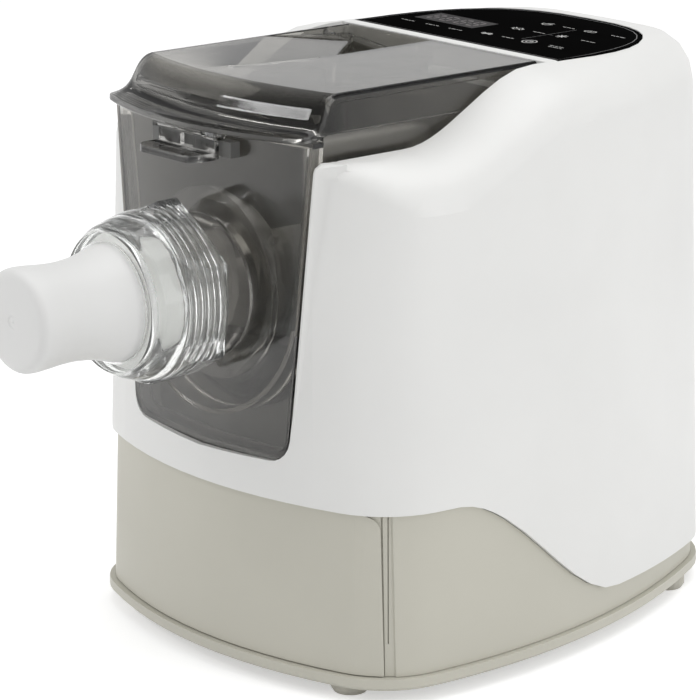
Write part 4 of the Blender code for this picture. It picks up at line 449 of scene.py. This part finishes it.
# Printing behind the glass: an inset border, three marks under the display, six programme signs with their
# bars, and the line that joins them. The signs are strands, a sheet, a tube, a ring key, a bowl and a mill.
# The border follows the glass's top edge, each corner moved in by the inset along both sides' normals.
border_inset = 0.0027
glass_points = frame["nodes"]["control_panel_glass"].data.vertices
rim = np.empty(3 * len(glass_points))
glass_points.foreach_get("co", rim)
rim = rim.reshape(-1, 3)
rim = np.unique(rim[rim[:, 2] > panel_top - 1e-5][:, :2].round(6), axis=0)
rim = rim[np.argsort(np.arctan2(*(rim - rim.mean(axis=0)).T[::-1]))]
edge = np.roll(rim, -1, axis=0) - rim
inward = np.stack([-edge[:, 1], edge[:, 0]], axis=1) / np.linalg.norm(edge, axis=1)[:, None]
before = np.roll(inward, 1, axis=0)
border = rim + border_inset * (inward + before) / (1 + np.sum(inward * before, axis=1))[:, None]
border = np.concatenate([border, border[:1]])
# The CAD's glass is opaque, so what is printed behind the real one lies just above it here.
print_height = panel_top + 0.00004
border_line, sign_line, joining_line, digit_line = 0.0005, 0.0006, 0.0003, 0.0011
border_print = moulded("border_print", (0.14, 0.14, 0.14), rough=0.4, grain_scale=900, mottle=0.3)
ribbons("panel_border", [(border, border_line)], print_height).data.materials.append(border_print)

# Places of the signs and of their bars, as distances from the middle and from the panel's front edge.
marks = []
for at in (-0.0575, -0.0387, -0.0211):
    marks += bars((at, panel_y + 0.0213), (0.0014, 0.0030, 0.0012, 0.0022))
left_row, right_row = -0.0020, 0.0287
rows = panel_y + np.array([0.0256, 0.0471, 0.0681])
for spread in (-0.0011, 0.0, 0.0011):
    marks.append(wave((left_row, rows[0] + spread), 0.0072, 0.0005))
for spread in (-0.0013, 0.0013):
    marks.append(wave((left_row, rows[1] + spread), 0.0068, 0.0007))
for end in (-0.0034, 0.0034):
    marks.append([(left_row + end, rows[1] - 0.0013), (left_row + end, rows[1] + 0.0013)])
marks.append(arc((left_row, rows[2]), 0.0029, 180, 360))
marks.append([(left_row - 0.0036, rows[2]), (left_row + 0.0036, rows[2])])
marks.append([(left_row - 0.0012, rows[2] + 0.0010), (left_row + 0.0026, rows[2] + 0.0026)])
marks.append(arc((right_row, rows[0] + 0.0006), 0.0038))
marks.append(arc((right_row, rows[0] + 0.0006), 0.0018, 115, 425))
marks.append([(right_row, rows[0] + 0.0008), (right_row, rows[0] + 0.0030)])
for turn in range(0, 180, 45):
    marks.append(arc((right_row, rows[1] + 0.0015), 0.0033, turn, turn + 180)[[0, -1]])
marks.append(arc((right_row - 0.0020, rows[2] + 0.0008), 0.0017))
marks.append(arc((right_row + 0.0016, rows[2] + 0.0008), 0.0017, 250, 470))
for lift in (-0.0009, 0.0025):
    marks.append([(right_row - 0.0020, rows[2] + lift), (right_row + 0.0016, rows[2] + lift)])
for row, lift in zip(rows, (0, 0.0002, 0.0002)):
    marks += bars((0.0134, row + lift), (0.0022, 0.0030, 0.0018))
    marks += bars((0.0478, row + lift + 0.0012), (0.0030, 0.0018, 0.0036))
marks += bars((0.0490, rows[0] - 0.0014), (0.0026, 0.0040, 0.0014))
joint_x = 0.0204
joint = [[(joint_x, rows[0] + 0.0030), (joint_x, rows[2] - 0.0012)],
         [(joint_x, rows[1]), (joint_x + 0.0034, rows[1])]]
white_print = moulded("white_print", (0.66, 0.66, 0.65), rough=0.4, grain_scale=900, mottle=0.1)
signs = ribbons("panel_signs", [(line, sign_line) for line in marks], print_height)
signs.data.materials.append(white_print)
joining = ribbons("panel_joining_line", [(line, joining_line) for line in joint], print_height)
joining.data.materials.append(border_print)

# Display window: dim smoked film, printed behind the panel over the display. The display's four digits of
# seven segments show faintly through it when they are off.
window_x, window_y = (-0.0625, -0.0180), (panel_y + 0.0300, panel_y + 0.0487)
window_middle = (window_y[0] + window_y[1]) / 2
display_film = moulded("display_film", (0.050, 0.048, 0.049), rough=0.35, grain_scale=400, mottle=0.12)
display_film.node_tree.nodes["Principled BSDF"].inputs["Specular IOR Level"].default_value = 0.01
film = ribbons("display_window", [([(window_x[0], window_middle), (window_x[1], window_middle)],
                                   window_y[1] - window_y[0])], print_height)
film.data.materials.append(display_film)
digit_wide, digit_high = 0.0052, 0.0105
half_bar, half_post = 0.40 * digit_wide, 0.19 * digit_high
segments = []
for digit_x in (-0.0553, -0.0457, -0.0348, -0.0252):
    for lift in (-0.5, 0.0, 0.5):
        at = window_middle + lift * digit_high
        segments.append([(digit_x - half_bar, at), (digit_x + half_bar, at)])
    for post_x in (digit_x - digit_wide / 2, digit_x + digit_wide / 2):
        for lift in (-0.25, 0.25):
            at = window_middle + lift * digit_high
            segments.append([(post_x, at - half_post), (post_x, at + half_post)])
for lift in (-0.22, 0.22):
    at = window_middle + lift * digit_high
    segments.append([(-0.0408, at), (-0.0397, at)])
digit_ghost = moulded("digit_ghost", (0.12, 0.105, 0.105), rough=0.35, grain_scale=400, mottle=0.12)
digits = ribbons("display_digits", [(line, digit_line) for line in segments], print_height + 0.00003)
digits.data.materials.append(digit_ghost)

# Small dark parts: the display, switch, motor cap and fan in black nylon, clipped or screwed in, and the
# latch's catch in smoke grey, bonded to the front plate.
dark_plastic = moulded("dark_plastic", (0.05, 0.05, 0.05), rough=0.42, mottle=0.15)
dress(dark_plastic, "display_module", "lid_switch", "motor_end_cap", "cooling_fan")
catch_plastic = moulded("catch_plastic", (0.13, 0.13, 0.125), rough=0.35, mottle=0.1)
dress(catch_plastic, "catch_bracket")

# Mixing bowl: a U-shaped tub in smoky polycarbonate, moulded clear, 2.5 mm thick. It stands in the inner
# frame's cradle.


def clear_plastic(name, tint, rough, ior=1.45, shadow=0.25, ripple=0.05, clearness=1.0):
    """A clear moulded plastic: the tint colours what is seen through it, a slow ripple bends it a little,
    only the stated share of the light is stopped by its shadow, and what isn't clear in it is milky."""
    finish, height = skinned(name, tint, rough, grain_scale=55, mottle=0.04)
    bumped(finish, height, strength=ripple, distance=0.001)
    tree = finish.node_tree
    shader = tree.nodes["Principled BSDF"]
    shader.inputs["Base Color"].default_value = (*tint, 1)
    shader.inputs["Transmission Weight"].default_value = clearness
    shader.inputs["IOR"].default_value = ior
    path = tree.nodes.new("ShaderNodeLightPath")
    tree.links.new(ramp(tree, path.outputs["Is Shadow Ray"], 0, 1, 1, shadow), shader.inputs["Alpha"])
    return finish


smoke_tint = (0.62, 0.61, 0.585)
smoky_bowl = clear_plastic("smoky_bowl", smoke_tint, rough=0.10)
finer("mixing_bowl", smoky_bowl)

# Front plate: the same plastic, polished. It is bowed across: its face and its back are parabolas. Behind,
# it has an edge wall and a U-shaped collar that holds the seal, and the barrel comes out through its hole.


def prism(name, outline, floor_z, top_z):
    """A straight-sided body over an outline of (x, y), from each corner's floor height up to the top."""
    low = np.column_stack([np.asarray(outline, float), np.broadcast_to(floor_z, len(outline))])
    high = np.column_stack([np.asarray(outline, float), np.full(len(outline), top_z)])
    return capped(name, np.stack([low, high]))


def slab(name, outline, y_from, y_to):
    """A straight-sided body over an outline of (x, z), from one place along Y to another."""
    x, z = np.asarray(outline, float).T
    return capped(name, np.stack([np.column_stack([x, np.full(len(x), y), z]) for y in (y_from, y_to)]))


def polished(piece, node, body, finish):
    """Stand for a CAD node: the cut form's stray points are merged, and its round parts shaded smooth."""
    made = bmesh.new()
    made.from_mesh(piece.data)
    bmesh.ops.remove_doubles(made, verts=made.verts, dist=5e-6)
    bmesh.ops.dissolve_degenerate(made, edges=made.edges, dist=1e-6)
    made.to_mesh(piece.data)
    made.free()
    shaded(piece, 32)
    stand_for(piece, node, body, finish)


smoky = clear_plastic("smoky_plastic", smoke_tint, rough=0.02)
plate_low, plate_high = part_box("front_plate")
plate_half, plate_sag, plate_wall = 0.0758, 0.0080, 0.0030
window_lean, window_round, window_foot, window_bend = 6.13, 0.0119, 0.04796, 0.0018
collar_outside, collar_inside, hole_radius = 0.0637, 0.0612, 0.0357
axis_height = 0.1900

# Each cutter runs on past what it cuts, by the short or the long overcut, or to the machine's front or top.
short_cut, overcut = 0.001, 0.010
machine_front, machine_top = -0.20, 0.29


def behind(name, inset):
    """The space behind the plate's face, moved back by the inset."""
    x = np.linspace(-plate_half, plate_half, 61)
    face = np.column_stack([x, plate_low.y + inset + plate_sag * (x / plate_half) ** 2])
    return prism(name, [*face, (plate_half, 0), (-plate_half, 0)], 0, plate_high.z + overcut)


def window_shape(inset):
    """The window's outline: its sides lean in downwards to round corners, and its foot is slightly bent."""
    radius = window_round - inset
    centre = (window_foot - 0.107 * inset, plate_low.z + window_bend + inset + radius)
    corner = arc(centre, radius, -90, -window_lean, count=13)
    rise = plate_high.z - inset - corner[-1, 1]
    right = [*corner, corner[-1] + (rise * math.tan(math.radians(window_lean)), rise)]
    return [(0, plate_low.z + inset), *right, *[(-x, z) for x, z in right[::-1]]]


def tub_shape(radius, top):
    """A half circle below the barrel's axis, whose ends run on outwards to the top."""
    lean = 6.39
    half_circle = arc((0, axis_height), radius, -lean, lean - 180, count=61)
    top_x = half_circle[0, 0] + (top - half_circle[0, 1]) * math.tan(math.radians(lean))
    return [(top_x, top), *half_circle, (-top_x, top)]


plate = slab("front_plate_smoky", window_shape(0), plate_low.y - short_cut, plate_high.y)
plate_room = slab("plate_room", window_shape(plate_wall), plate_low.y - short_cut, 0)
collar = slab("collar", tub_shape(collar_outside, plate_high.z), plate_low.y, plate_high.y + short_cut)
collar_bore = slab("collar_bore", tub_shape(collar_inside, machine_top), plate_low.y - overcut, overcut)
joined(collar, "DIFFERENCE", collar_bore)
joined(plate_room, "INTERSECT", behind("plate_back", plate_wall))
joined(plate_room, "DIFFERENCE", collar)
joined(plate, "INTERSECT", behind("plate_face", 0))
hole = slab("plate_hole", arc((0, axis_height), hole_radius, count=73)[:-1], machine_front, 0)
joined(plate, "DIFFERENCE", plate_room, hole)
polished(plate, "front_plate", "body", smoky)

# Lid: one hood in smoky polycarbonate, moulded clear and polished. Its flat top falls over an S to a bowed
# lip with fine grip ribs, its left side slopes to the feed slots, and it swings on two steel pins behind.


def eased(points):
    """A profile whose corners are cut three times, at a quarter and three quarters along each side."""
    path = np.asarray(points, float)
    for _ in range(3):
        cut = np.empty((2 * len(path) - 2, 2))
        cut[0::2] = 0.75 * path[:-1] + 0.25 * path[1:]
        cut[1::2] = 0.25 * path[:-1] + 0.75 * path[1:]
        path = np.concatenate([path[:1], cut, path[-1:]])
    return path


def smooth_step(at, start, end):
    """0 before start, 1 after end, and the smooth step 3t2 - 2t3 between them."""
    t = np.clip((at - start) / (end - start), 0, 1)
    return t * t * (3 - 2 * t)


def band(at, rise, risen, fall, fallen):
    """1 from risen to fall and 0 outside rise and fallen, with smooth steps between."""
    return smooth_step(at, rise, risen) * (1 - smooth_step(at, fall, fallen))


smoky_lid = clear_plastic("smoky_lid", (0.55, 0.54, 0.512), rough=0.02)
lid_low, lid_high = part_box("lid")
lid_rear, lid_top, lip_tip = lid_high.y, lid_high.z, lid_low.y
lid_rise, lid_flare, lid_wall, lip_thick = 0.0177, 0.0033, 0.0025, 0.0026
skirt = lid_top - lid_rise
lid_side = lid_high.x - lid_flare * lip_thick / lid_rise
edge_round = 0.0013
pivot_y, pivot_z = lid_rear - 0.0112, lid_top - 0.0050
bend_back, bend_bow = 0.0310, 0.0105
tip_bow, tip_round = 0.0165, 0.0060
lip_edge, lip_step = 0.0006, 0.0040
rib_pitch, rib_high = 0.0016, 0.00035
rib_rows_shares, rib_ends_shares = (0.74, 0.78, 0.955, 0.985), (0.30, 0.42, 0.88, 0.95)

# The S, from the bend to the tip, is a curve of (share of the way, share of the rise), with closer points
# along the ribbed lip. The inside wall starts at its middle.
s_curve = eased([(0.00, 1.00), (0.14, 0.965), (0.26, 0.87), (0.36, 0.72), (0.44, 0.50), (0.52, 0.28),
                 (0.64, 0.12), (0.82, 0.03), (1.00, 0.0)])
lip_share = np.linspace(0.70, 1.0, 61)
lip_flat = np.column_stack([lip_share, np.interp(lip_share, *s_curve.T)])
s_curve = np.concatenate([s_curve[s_curve[:, 0] < lip_share[0] - 0.005], lip_flat])
s_middle = 0.44


def lid_section(share, inset, ribs=0.0):
    """The lid cut at a share of its half width, as a closed line of (y, z): rear top, bend, S, lip, skirt
    and heel. The bend and the tip are bowed with the square of the share, the tip's ends are rounded back,
    and the ribs are a sine on the lip."""
    bow = share * share
    past = max(0.0, lid_side * abs(share) - lid_side + tip_round)
    back = tip_round - math.sqrt(tip_round ** 2 - past ** 2)
    bend = lip_tip + bend_back + bend_bow * bow + inset
    tip = lip_tip + tip_bow * bow + back + inset
    top = lid_top - inset
    y = bend + (tip - bend) * s_curve[:, 0]
    z = skirt + (top - skirt) * s_curve[:, 1]
    crests = np.clip(np.sin(2 * math.pi * (y - tip) / rib_pitch), 0, 1)
    z = z + ribs * band(s_curve[:, 0], *rib_rows_shares) * crests
    wall_y = np.interp(s_middle, s_curve[:, 0], y)
    low = np.array([(tip, skirt - lip_edge), (tip, skirt - lip_thick + lip_edge),
                    (tip + 0.0004, skirt - lip_thick), (wall_y - lip_step, skirt - 0.3 * lip_thick),
                    (wall_y, skirt)])
    heel_round = pivot_z - skirt
    heel_end = -math.degrees(math.acos((lid_rear - pivot_y) / heel_round))
    heel = arc((pivot_y, pivot_z), heel_round, -90, heel_end, count=9)
    return np.concatenate([[(lid_rear, top)], np.stack([y, z], axis=1), low, heel])


def rectangle(x_from, x_to, y_from, y_to):
    """The corners of a rectangle, as an outline of (x, y)."""
    return [(x_from, y_from), (x_to, y_from), (x_to, y_to), (x_from, y_to)]


def round_bar(name, half_long, y, z, radius):
    """A round bar along X, as long to the left as to the right."""
    circle = arc((y, z), radius)[:-1]
    return capped(name, np.stack([np.insert(circle, 0, x, axis=1) for x in (-half_long, half_long)]))


def across(section, share, draw_in):
    """A section's points at a share of the lid's half width, whose sides lean out towards the skirt."""
    half = lid_side - lid_flare * (section[:, 1] - skirt) / lid_rise - draw_in
    return np.column_stack([share * half, section])


# Painted shade: the tint deepens over the lip and the S, towards the front and below the flat top.
tree = smoky_lid.node_tree
place = coordinates(tree, "Object")
forward = ramp(tree, place["Y"], lip_tip + 0.050, lip_tip + 0.034, shape="SMOOTHSTEP")
below = ramp(tree, place["Z"], lid_top - 0.0006, lid_top - 0.0060, shape="SMOOTHSTEP")
painted_lip_shade = tree.nodes.new("ShaderNodeMixRGB")
painted_lip_shade.inputs["Color2"].default_value = (0.20, 0.197, 0.187, 1)
shader = tree.nodes["Principled BSDF"]
tree.links.new(reckon(tree, "MULTIPLY", forward, below), painted_lip_shade.inputs["Fac"])
tree.links.new(shader.inputs["Base Color"].links[0].from_socket, painted_lip_shade.inputs["Color1"])
tree.links.new(painted_lip_shade.outputs["Color"], shader.inputs["Base Color"])

# The sections crowd towards the ends, where the last ones sink and so round the top's edges over.
# The ribs fill the left of the lip only, and fade out at both ends.
crowd_from = 0.97
crowded = crowd_from + (1 - crowd_from) * np.sin(np.linspace(0.08, 1, 14) * math.pi / 2)
spread = np.concatenate([np.linspace(0, crowd_from, 40), crowded])
shares = np.concatenate([-spread[:0:-1], spread])
over = np.clip((np.abs(shares) * lid_side - lid_side + edge_round) / edge_round, 0, 1)
drops = edge_round * (1 - np.sqrt(1 - over ** 2))
ribs = rib_high * band(-shares, *rib_ends_shares)
hood = capped("lid_hood", np.stack([
    across(lid_section(share, drop, rib), share, 0) for share, drop, rib in zip(shares, drops, ribs)]))

# The space under the top, down past the skirt.
under = int(np.sum(s_curve[:, 0] < s_middle)) + 1
hollow_rings = []
for share in np.linspace(-1, 1, 61):
    wall = lid_section(share, lid_wall)[1:under]
    ring = np.concatenate([[(lid_rear - lid_wall, lid_top - lid_wall)], wall, [
        (wall[-1, 0], skirt - overcut), (lid_rear - lid_wall, skirt - overcut)]])
    hollow_rings.append(across(ring, share, lid_wall))
hollow = capped("lid_hollow", np.stack(hollow_rings))

# Feed side: it falls away from a fold across the lid, to a hopper with slots and a water slit.
feed_left, feed_edge = -lid_side + 0.0060, -0.0045
fold_y = lid_rear - 0.0572
hopper_rear = lid_rear - 0.0052
hopper_front = hopper_rear - 0.0580
hopper_left, hopper_side = feed_left + 0.0080, feed_edge - 0.0020
hopper_wall, crease_wide = 0.0020, 0.0040
slit_x, slit_y, slit_wide = -0.0150, lip_tip + 0.0460, 0.0026
feed_fall = 0.0060
fold = np.array([slit_x - feed_left, slit_y - fold_y])
fall = np.array([-fold[1], fold[0]]) / np.linalg.norm(fold)
deepest = fall @ (feed_edge - feed_left, hopper_front - fold_y)


def feed_space(name, wall):
    """The space above the feed side, whose floor falls with the distance from the fold, less the wall."""
    edge = feed_edge + wall
    plan = np.array([(feed_left, lid_rear - lid_wall / 2), (edge, lid_rear - lid_wall / 2),
                     (edge, hopper_front), (slit_x + wall, slit_y), (feed_left, fold_y)])
    floor_z = lid_top - feed_fall * ((plan - (feed_left, fold_y)) @ fall) / deepest - wall
    return prism(name, plan, floor_z, lid_top + overcut)


def hopper(name, grow, low_z, high_z):
    """The hopper: from above a triangle between the rear edge, the flat side and a crease, grown outwards."""
    right = hopper_side + grow
    plan = [(hopper_left - 2 * grow, hopper_rear + grow), (right, hopper_rear + grow),
            (right, hopper_front - 2 * grow), (right - crease_wide, hopper_front - 2 * grow)]
    return prism(name, plan, low_z, high_z)


joined(hollow, "DIFFERENCE", feed_space("feed_roof", lid_wall))
joined(hood, "DIFFERENCE", hollow)
joined(hood, "UNION", hopper("hopper_tube", hopper_wall, skirt, lid_top - lid_wall / 2))
throat = hopper("hopper_throat", 0, skirt + hopper_wall, lid_top + overcut)
slots = []
slot_count, slot_bar, slot_end = 4, 0.0030, hopper_side - 0.0020
pitch = (hopper_rear - hopper_front) / (slot_count + 1)
for step in range(1, slot_count + 1):
    slot_x, slot_y = hopper_side - pitch * step, hopper_front + pitch * step
    outline = rectangle(slot_x, slot_end, slot_y, slot_y + pitch - slot_bar)
    slots.append(prism("feed_slot", outline, skirt - overcut, lid_top))
slit_rear = hopper_front - 0.0100
slit = prism("water_slit", [
    (feed_edge, slit_rear), (slit_x, slit_y), (slit_x - slit_wide, slit_y),
    (feed_edge - slit_wide, slit_rear)], skirt - overcut, lid_top + overcut)
pin_bore = round_bar("pin_bore", 0.09, pivot_y, pivot_z, radius=0.0019)

# A shallow line runs along each side, at this share of the way up from the skirt.
line_share, line_deep, line_low, line_high = 0.78, 0.0004, lid_top - 0.0042, lid_top - 0.0036
line_x = lid_side - lid_flare * line_share - line_deep
outside_lid = 0.0760
for low, high in ((-outside_lid, -line_x), (line_x, outside_lid)):
    outline = rectangle(low, high, lip_tip + 0.042, lid_rear + 0.002)
    joined(hood, "DIFFERENCE", prism("side_line", outline, line_low, line_high))
joined(hood, "DIFFERENCE", feed_space("feed_room", 0), throat, *slots, slit, pin_bore)

# Lugs under the lip hold the latch pin.
latch_y, latch_z = lip_tip + 0.0092, skirt - lip_thick - 0.0020
lug = 0.0025
for low in (-0.0246, 0.0221):
    outline = rectangle(low, low + lug, latch_y - lug, latch_y + lug)
    joined(hood, "UNION", prism("lug", outline, latch_z - lug, skirt + 0.0003))
joined(hood, "DIFFERENCE", round_bar("lug_bore", 0.07, latch_y, latch_z, radius=0.0015))
polished(hood, "lid", "lid", smoky_lid)

# Latch: a leaf with a finger tab, moulded in the same smoky plastic. Its darker tint is painted shade, so
# that the thin leaf reads as dark as the plate. It swings on a steel pin in the lid's lugs.
smoky_shaded = clear_plastic("smoky_shaded", (0.44, 0.435, 0.42), rough=0.04, shadow=0.3)
finer("lid_latch", smoky_shaded)

# Extrusion barrel: a darker smoky tube, moulded in one with its flange and thread rings. A scoop is cut into
# it inside the bowl, where the screw picks the dough up.
smoky_dark = clear_plastic("smoky_dark", (0.56, 0.55, 0.53), rough=0.08, shadow=0.3, ripple=0.1,
                           clearness=0.9)
finer("extrusion_barrel", smoky_dark)

# Seals: moulded in pale silicone. The front one is pushed on between the plate's collar and the bowl, and
# the shaft's one into the bowl's back wall.
silicone = moulded("silicone", (0.62, 0.60, 0.56), rough=0.6, grain_scale=500, relief=0.05)
dress(silicone, "front_seal", "shaft_seal")

# Lock nut: clear acrylic, moulded with six lobes to turn it by. It screws onto the barrel's thread rings,
# and its front lip holds the die.
# Painted light: the small milky share, clearness 0.97, brightens the nut for the light caught inside its
# thick acrylic.
clear = clear_plastic("clear_plastic", (0.96, 0.97, 0.96), rough=0.02, ior=1.49, shadow=0.1, ripple=0.04,
                      clearness=0.97)
nut_low, nut_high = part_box("lock_nut")
nut_rear, nut_long = nut_high.y, nut_high.y - nut_low.y
axis_z = (nut_low.z + nut_high.z) / 2
nut_round, nut_corner, lobe_turn = 0.0410, 0.0456, math.radians(26)
bore_round, thread_pitch, thread_deep = 0.0364, 0.0036, 0.0016
lobes_fade, lobes_gone = 0.0100, 0.0300
shoulder_in, shoulder_from, lip_in, lip_from, closed_by = 0.0045, 0.0180, 0.0020, 0.0340, 0.0405
around = np.linspace(0, 2 * math.pi, 181)


def nut_outside(back, turn):
    """Radius of the nut's outside at a distance from its rear edge and a turn about its axis: a circle,
    drawn out to six soft corners that fade towards the front, where the circle closes in on the die."""
    sixth = np.mod(turn - lobe_turn, math.pi / 3) / (math.pi / 3)
    corner = np.sqrt((2 * sixth - 1) ** 2 + 0.0009) ** 3
    fade = 1 - smooth_step(back, lobes_fade, lobes_gone)
    shoulder = shoulder_in * smooth_step(back, shoulder_from, closed_by)
    lip = lip_in * smooth_step(back, lip_from, closed_by)
    return nut_round - shoulder - lip + (nut_corner - nut_round) * corner * fade


def turned_form(name, radius, y, turn):
    """A surface round the barrel's axis: a ring (radius cos turn, y, axis + radius sin turn) for each y."""
    rings = np.broadcast_arrays(radius * np.cos(turn), y[:, None], axis_z + radius * np.sin(turn))
    return surface(name, np.stack(rings, axis=-1))


# The outline runs forward on the outside, round the lip, and back through the mouth and the threads. Its
# points are a distance from the rear edge and a radius.
outside = np.linspace(0, nut_long, 34)
mouth = [(nut_long, 0.0294), (nut_long - 0.0005, 0.0290), (0.0365, 0.0290), (0.0362, 0.0341),
         (0.0218, 0.0341)]
threads = np.linspace(0.0212, 0.0006, 130)
thread_wave = np.cos(2 * math.pi * threads / thread_pitch)
thread_radius = bore_round + thread_deep * np.clip(0.5 - 1.1 * thread_wave, 0, 1)
inside = np.concatenate([mouth, np.column_stack([threads, thread_radius]), [(0.0, 0.0372)]])
outer_grid = nut_outside(outside[:, None], around[None, :])
rear_soft, front_soft = 0.0006, 0.0008
outer_grid[0] -= rear_soft
outer_grid[-1] -= front_soft
inner_grid = np.repeat(inside[:, 1:], around.size, axis=1)
radius = np.concatenate([outer_grid, inner_grid, outer_grid[:1]])
back = np.concatenate([outside, inside[:, 0], outside[:1]])
nut = turned_form("lock_nut_clear", radius, nut_rear - back, around)
stand_for(nut, "lock_nut", "nut", clear)

# Die and cap: the die is moulded in white acetal and held behind the nut's lip. The cap is moulded in frosted
# polypropylene and pushes onto the die. The switch's plunger is in white acetal too.
die_plastic = moulded("die_plastic", (0.80, 0.80, 0.78), rough=0.45)
dress(die_plastic, "switch_plunger")
finer("die_disc", die_plastic)
frosted = moulded("frosted_plastic", (0.80, 0.80, 0.79), rough=0.42, grain_scale=1600)
cap_low, cap_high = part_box("end_cap")
cap_tip, cap_root = cap_low.y, cap_high.y
cap_long = cap_root - cap_tip

# The cap's profile of (radius, y), from the middle of its root round its outside to the middle of its tip.
cap_line = eased([
    (0, cap_root - 0.0030), (0.0180, cap_root - 0.0030), (0.0182, cap_root), (0.0209, cap_root),
    (0.0282, cap_root - 0.0002), (0.0282, cap_root - 0.10 * cap_long), (0.0270, cap_root - 0.16 * cap_long),
    (0.0248, cap_root - 0.30 * cap_long), (0.0236, cap_root - 0.48 * cap_long),
    (0.0238, cap_root - 0.64 * cap_long), (0.0248, cap_root - 0.80 * cap_long),
    (0.0251, cap_root - 0.90 * cap_long), (0.0247, cap_tip + 0.0028), (0.0228, cap_tip + 0.0007),
    (0.0190, cap_tip + 0.0001), (0.0032, cap_tip), (0.0028, cap_tip + 0.0006), (0.0010, cap_tip + 0.0006),
    (0, cap_tip + 0.0001)])
cap = turned_form("end_cap_frosted", cap_line[:, :1], cap_line[:, 1], np.linspace(0, 2 * math.pi, 121))
stand_for(cap, "end_cap", "cap", frosted)

# Gears: the motor's pinion, the idler and the output gear, moulded in natural nylon. They run greased inside
# the gearbox, the idler on its pin.
nylon = moulded("gear_nylon", (0.72, 0.70, 0.63), rough=0.42, mottle=0.08)
dress(nylon, "output_gear", "idler_gear", "motor_pinion")

# Steel parts: shafts, pins and screws turned from bar, a ground bearing, a wound spring, and a gearbox and a
# motor can drawn from sheet. The pins are pressed in, and the screws close the base.


def turned_steel(name, colour, rough, ring_scale):
    """Machined metal: a wave along Object coordinates gives the fine tool marks."""
    finish, _ = skinned(name, colour, rough, grain_scale=300, mottle=0.15)
    tree = finish.node_tree
    tree.nodes["Principled BSDF"].inputs["Metallic"].default_value = 1
    place = tree.nodes.new("ShaderNodeTexCoord")
    marks = tree.nodes.new("ShaderNodeTexWave")
    marks.bands_direction = "Y"
    marks.inputs["Scale"].default_value = ring_scale
    marks.inputs["Distortion"].default_value = 1.5
    tree.links.new(place.outputs["Object"], marks.inputs["Vector"])
    bumped(finish, marks.outputs["Fac"], strength=0.1, distance=0.0002)
    return finish


steel = turned_steel("steel", (0.55, 0.55, 0.56), rough=0.28, ring_scale=900)
dress(steel, "drive_shaft", "main_bearing", "idler_pin", "motor_rotor", "lid_hinge_pin_left",
      "lid_hinge_pin_right", "latch_pin", "latch_spring", "base_screw_1", "base_screw_2", "base_screw_3",
      "base_screw_4")
drawn_steel = turned_steel("motor_steel", (0.42, 0.42, 0.43), rough=0.34, ring_scale=260)
dress(drawn_steel, "gearbox_housing", "gearbox_cover", "motor_can")

# Circuit boards: glass fibre with green lacquer over copper, and the parts soldered on. One is bonded under
# the panel, and one stands upright between rails on the bottom plate.
board = moulded("circuit_board", (0.03, 0.16, 0.08), rough=0.35, grain_scale=220, relief=0.2, mottle=0.3)
dress(board, "power_board", "touch_board")
